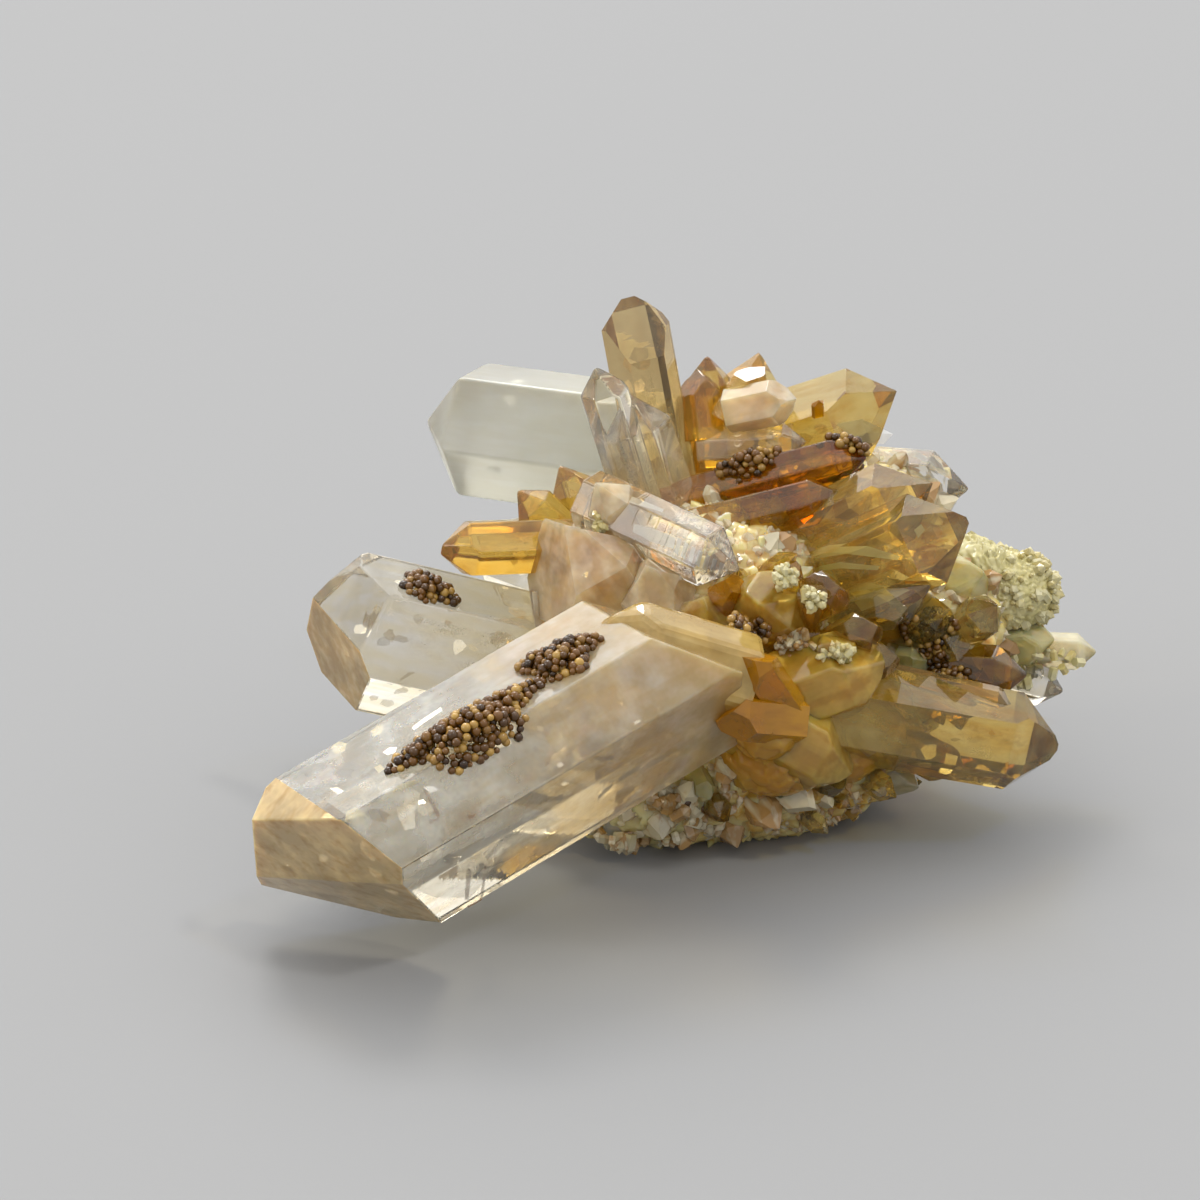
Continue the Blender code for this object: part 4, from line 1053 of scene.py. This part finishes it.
# Each clump has its middle, the way it faces, its half length and width, the way its length goes, and
# perhaps its height or how far above its middle the beads start to fall.
clumps = {
    "bead_crust_great_long": dict(
        middle=fromPixel(472, 735, -23.2), facing=(-0.2, -0.5, 0.84), half=(5.2, 2.3),
        along=(0.81, 0.5, 0.3), height=1.8),
    "bead_crust_great_round": dict(
        middle=fromPixel(562, 662, -17.2), facing=(-0.2, -0.5, 0.84), half=(2.6, 2.1),
        along=(0.81, 0.5, 0.3), height=1.4),
    "bead_crust_left": dict(
        middle=(-17.1, -2.4, 18.1), facing=(0.3, -0.13, 0.94), half=(2.0, 1.4), along=(1, 0.2, -0.2),
        start=1.4),
    "bead_crust_foot": dict(
        middle=(1.0, -9.0, 4.2), facing=(0, -0.9, 0.4), half=(1.2, 0.9), along=(1, 0, 0)),
    "bead_crust_right": dict(
        middle=(18.2, -2.6, 14.6), facing=(-0.1, -0.9, 0.45), half=(1.8, 1.7), along=(0, 0.4, 1)),
    "bead_crust_right_low": dict(
        middle=(19.2, -3.6, 11.6), facing=(-0.2, -0.88, 0.4), half=(1.7, 1.0), along=(1, 0, 0)),
    "bead_crust_trough": dict(
        middle=(5.5, 4.6, 24.8), facing=(-0.2, -0.3, 0.93), half=(2.2, 1.0), along=(1, 0, 0.25)),
    "bead_crust_trough_right": dict(
        middle=(13.2, 4.8, 26.4), facing=(0.2, -0.6, 0.8), half=(2.0, 1.0), along=(1, 0, 0.1)),
    "bead_crust_middle": dict(
        middle=(5.2, -10.6, 18.8), facing=(0.2, -0.8, 0.56), half=(1.7, 0.9), along=(1, 0.3, -0.2)),
}


def beadFinish():
    # goethite beads: brown to olive tan, smooth and waxy, some darker than their neighbours
    m = newMaterial("goethite_beads")
    darkest, brown, tan = (linear(tone) for tone in beads["tones"])
    grain = noise(m, attribute(m, "local", "Vector"), 4.0, 3.0)
    tone = calculate(m, "MULTIPLY_ADD", grain, 0.3, attribute(m, "shade"))
    lower = blended(m, mapped(m, tone, (0.15, 0.6)), darkest, brown)
    colour = blended(m, mapped(m, tone, (0.75, 1.2)), lower, tan)
    shaded(m, Base_Color=colour, Roughness=beads["rough"], IOR=beads["ior"])
    return m


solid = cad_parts["quartz_cluster"].data
carrier = BVHTree.FromPolygons([v.co for v in solid.vertices], [tuple(p.vertices) for p in solid.polygons])
columns, rows = 8, 6
rings = ringWays(columns, np.arange(1, rows) / rows * np.pi)
ballPoints = np.vstack((rings.reshape(-1, 3), ((0, 0, 1), (0, 0, -1))))
ballFaces = ringFaces(columns, rows - 1)
beadMaterial = beadFinish()
for number, (name, clump) in enumerate(clumps.items()):
    chance = np.random.default_rng(beads["seed"] + number)
    facing = unit(np.array(clump["facing"], float))
    lengthWay = np.array(clump["along"], float)
    lengthWay = unit(lengthWay - facing * (lengthWay @ facing))
    widthWay = np.cross(facing, lengthWay)
    longHalf, shortHalf = clump["half"]
    start = facing * clump.get("start", beads["start"])
    height = clump.get("height", beads["height"])
    places = []
    for _ in range(beads["tries"]):
        # each bead falls onto the quartz somewhere within a wavy outline, and stays if it finds room
        bearing, share = chance.uniform(0, 2 * np.pi), math.sqrt(chance.random())
        edge = 1 + 0.16 * math.sin(3 * bearing + number) + 0.1 * math.sin(5 * bearing + 2 * number)
        a, b = share * edge * longHalf * math.cos(bearing), share * edge * shortHalf * math.sin(bearing)
        spot = np.array(clump["middle"]) + lengthWay * a + widthWay * b
        above = Vector((spot + start - middle) * mm)
        hit, _, _, _ = carrier.ray_cast(above, Vector(-facing), beads["reach"] * mm)
        if hit is None:
            continue
        rise = beads["sunk"] + chance.random() ** 0.7 * height * (1 - share ** 2)
        place = np.array(hit) / mm + middle + facing * rise
        if not places or np.linalg.norm(np.array(places) - place, axis=1).min() > beads["apart"]:
            places.append(place)
    places = np.array(places)
    sizes = beads["size"] / 2 * chance.uniform(*beads["sizes"], len(places))
    ways = unit(chance.normal(size=(len(places), 3)))
    turns = turnsTo(ways, sizes, sizes, chance)
    local = chance.uniform(*noiseStart, (len(places), 3))
    part = copiesPart(
        ballPoints, ballFaces, turns, places, local, np.zeros(len(ballPoints)), chance.random(len(places)))
    piece = madePiece(name.replace("bead_crust", "beads"), [part], [beadMaterial], smooth=True)
    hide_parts(name)
print("beads made")

# plain paper floor, soft light, and the camera
studio = dict(
    paper="868686", horizon=0.88, zenith=1.36, back=1.35, fore=0.8, box=1.2, boxWay=(-0.2, 0.62, 0.76),
    boxEdge=(0.8, 0.92))
lamps = {
    "key": dict(place=(-0.3, 1.04, 1.38), aim=(0, 0, 0.01), size=0.5, power=12.0),
    "glint": dict(place=(0.35, -0.35, 0.75), aim=(0, 0, 0.01), size=0.08, power=1.6),
    "window": dict(place=(-0.91, -0.55, 0.55), aim=(0, 0, 0.02), size=0.25, power=0.8),
    "side": dict(place=(-1.1, -0.3, 0.32), aim=(0, 0, 0.02), size=0.15, power=3.0),
}
floorMaterial = newMaterial("paper")
shaded(floorMaterial, Base_Color=linear(studio["paper"]), Roughness=0.9)
floorMesh = bpy.data.meshes.new("floor")
floorMesh.from_pydata([(-3, -3, 0), (3, -3, 0), (3, 3, 0), (-3, 3, 0)], [], [(0, 1, 2, 3)])
floorMesh.materials.append(floorMaterial)
floor = bpy.data.objects.new("floor", floorMesh)
bpy.context.scene.collection.objects.link(floor)

world = bpy.data.worlds.new("studio")
bpy.context.scene.world = world
world.use_nodes = True
# brighter overhead and behind than in front, with a soft box high at the back
way = addNode(world, "ShaderNodeTexCoord").outputs["Generated"]
wayParts = addNode(world, "ShaderNodeSeparateXYZ", Vector=way)
sky = mapped(world, wayParts.outputs["Z"], (0.0, 0.9), (studio["horizon"], studio["zenith"]))
room = mapped(world, wayParts.outputs["Y"], (-1.0, 1.0), (studio["fore"], studio["back"]))
toBox = addNode(
    world, "ShaderNodeVectorMath", {"operation": "DOT_PRODUCT"}, _0=way,
    _1=studio["boxWay"]).outputs["Value"]
softBox = mapped(world, toBox, studio["boxEdge"], (0.0, studio["box"]), kind="SMOOTHSTEP")
strength = calculate(world, "ADD", calculate(world, "MULTIPLY", sky, room), softBox)
background = world.node_tree.nodes["Background"]
background.inputs["Color"].default_value = (1, 1, 1, 1)
world.node_tree.links.new(strength, background.inputs["Strength"])

for name, lamp in lamps.items():
    data = bpy.data.lights.new(name, "AREA")
    data.shape = "SQUARE"
    data.size = lamp["size"]
    data.energy = lamp["power"]
    light = bpy.data.objects.new(name, data)
    bpy.context.scene.collection.objects.link(light)
    light.location = lamp["place"]
    light.rotation_euler = (Vector(lamp["aim"]) - Vector(lamp["place"])).to_track_quat("-Z", "Y").to_euler()

cameraData = bpy.data.cameras.new("camera")
cameraData.lens = view["lens"]
cameraData.sensor_width = view["sensor"]
cameraData.clip_start = 0.01
camera = bpy.data.objects.new("camera", cameraData)
bpy.context.scene.collection.objects.link(camera)
camera.location = (np.array(view["target"]) - middle + front * view["distance"]) * mm
camera.rotation_euler = (math.radians(90) - frontElevation, 0, 0)
scene = bpy.context.scene
scene.camera = camera
scene.view_settings.view_transform = "Standard"
scene.cycles.max_bounces = 8
scene.cycles.diffuse_bounces = 4
scene.cycles.transmission_bounces = 8
scene.cycles.transparent_max_bounces = 8
scene.cycles.caustics_reflective = False
scene.cycles.caustics_refractive = False
scene.cycles.use_light_tree = False
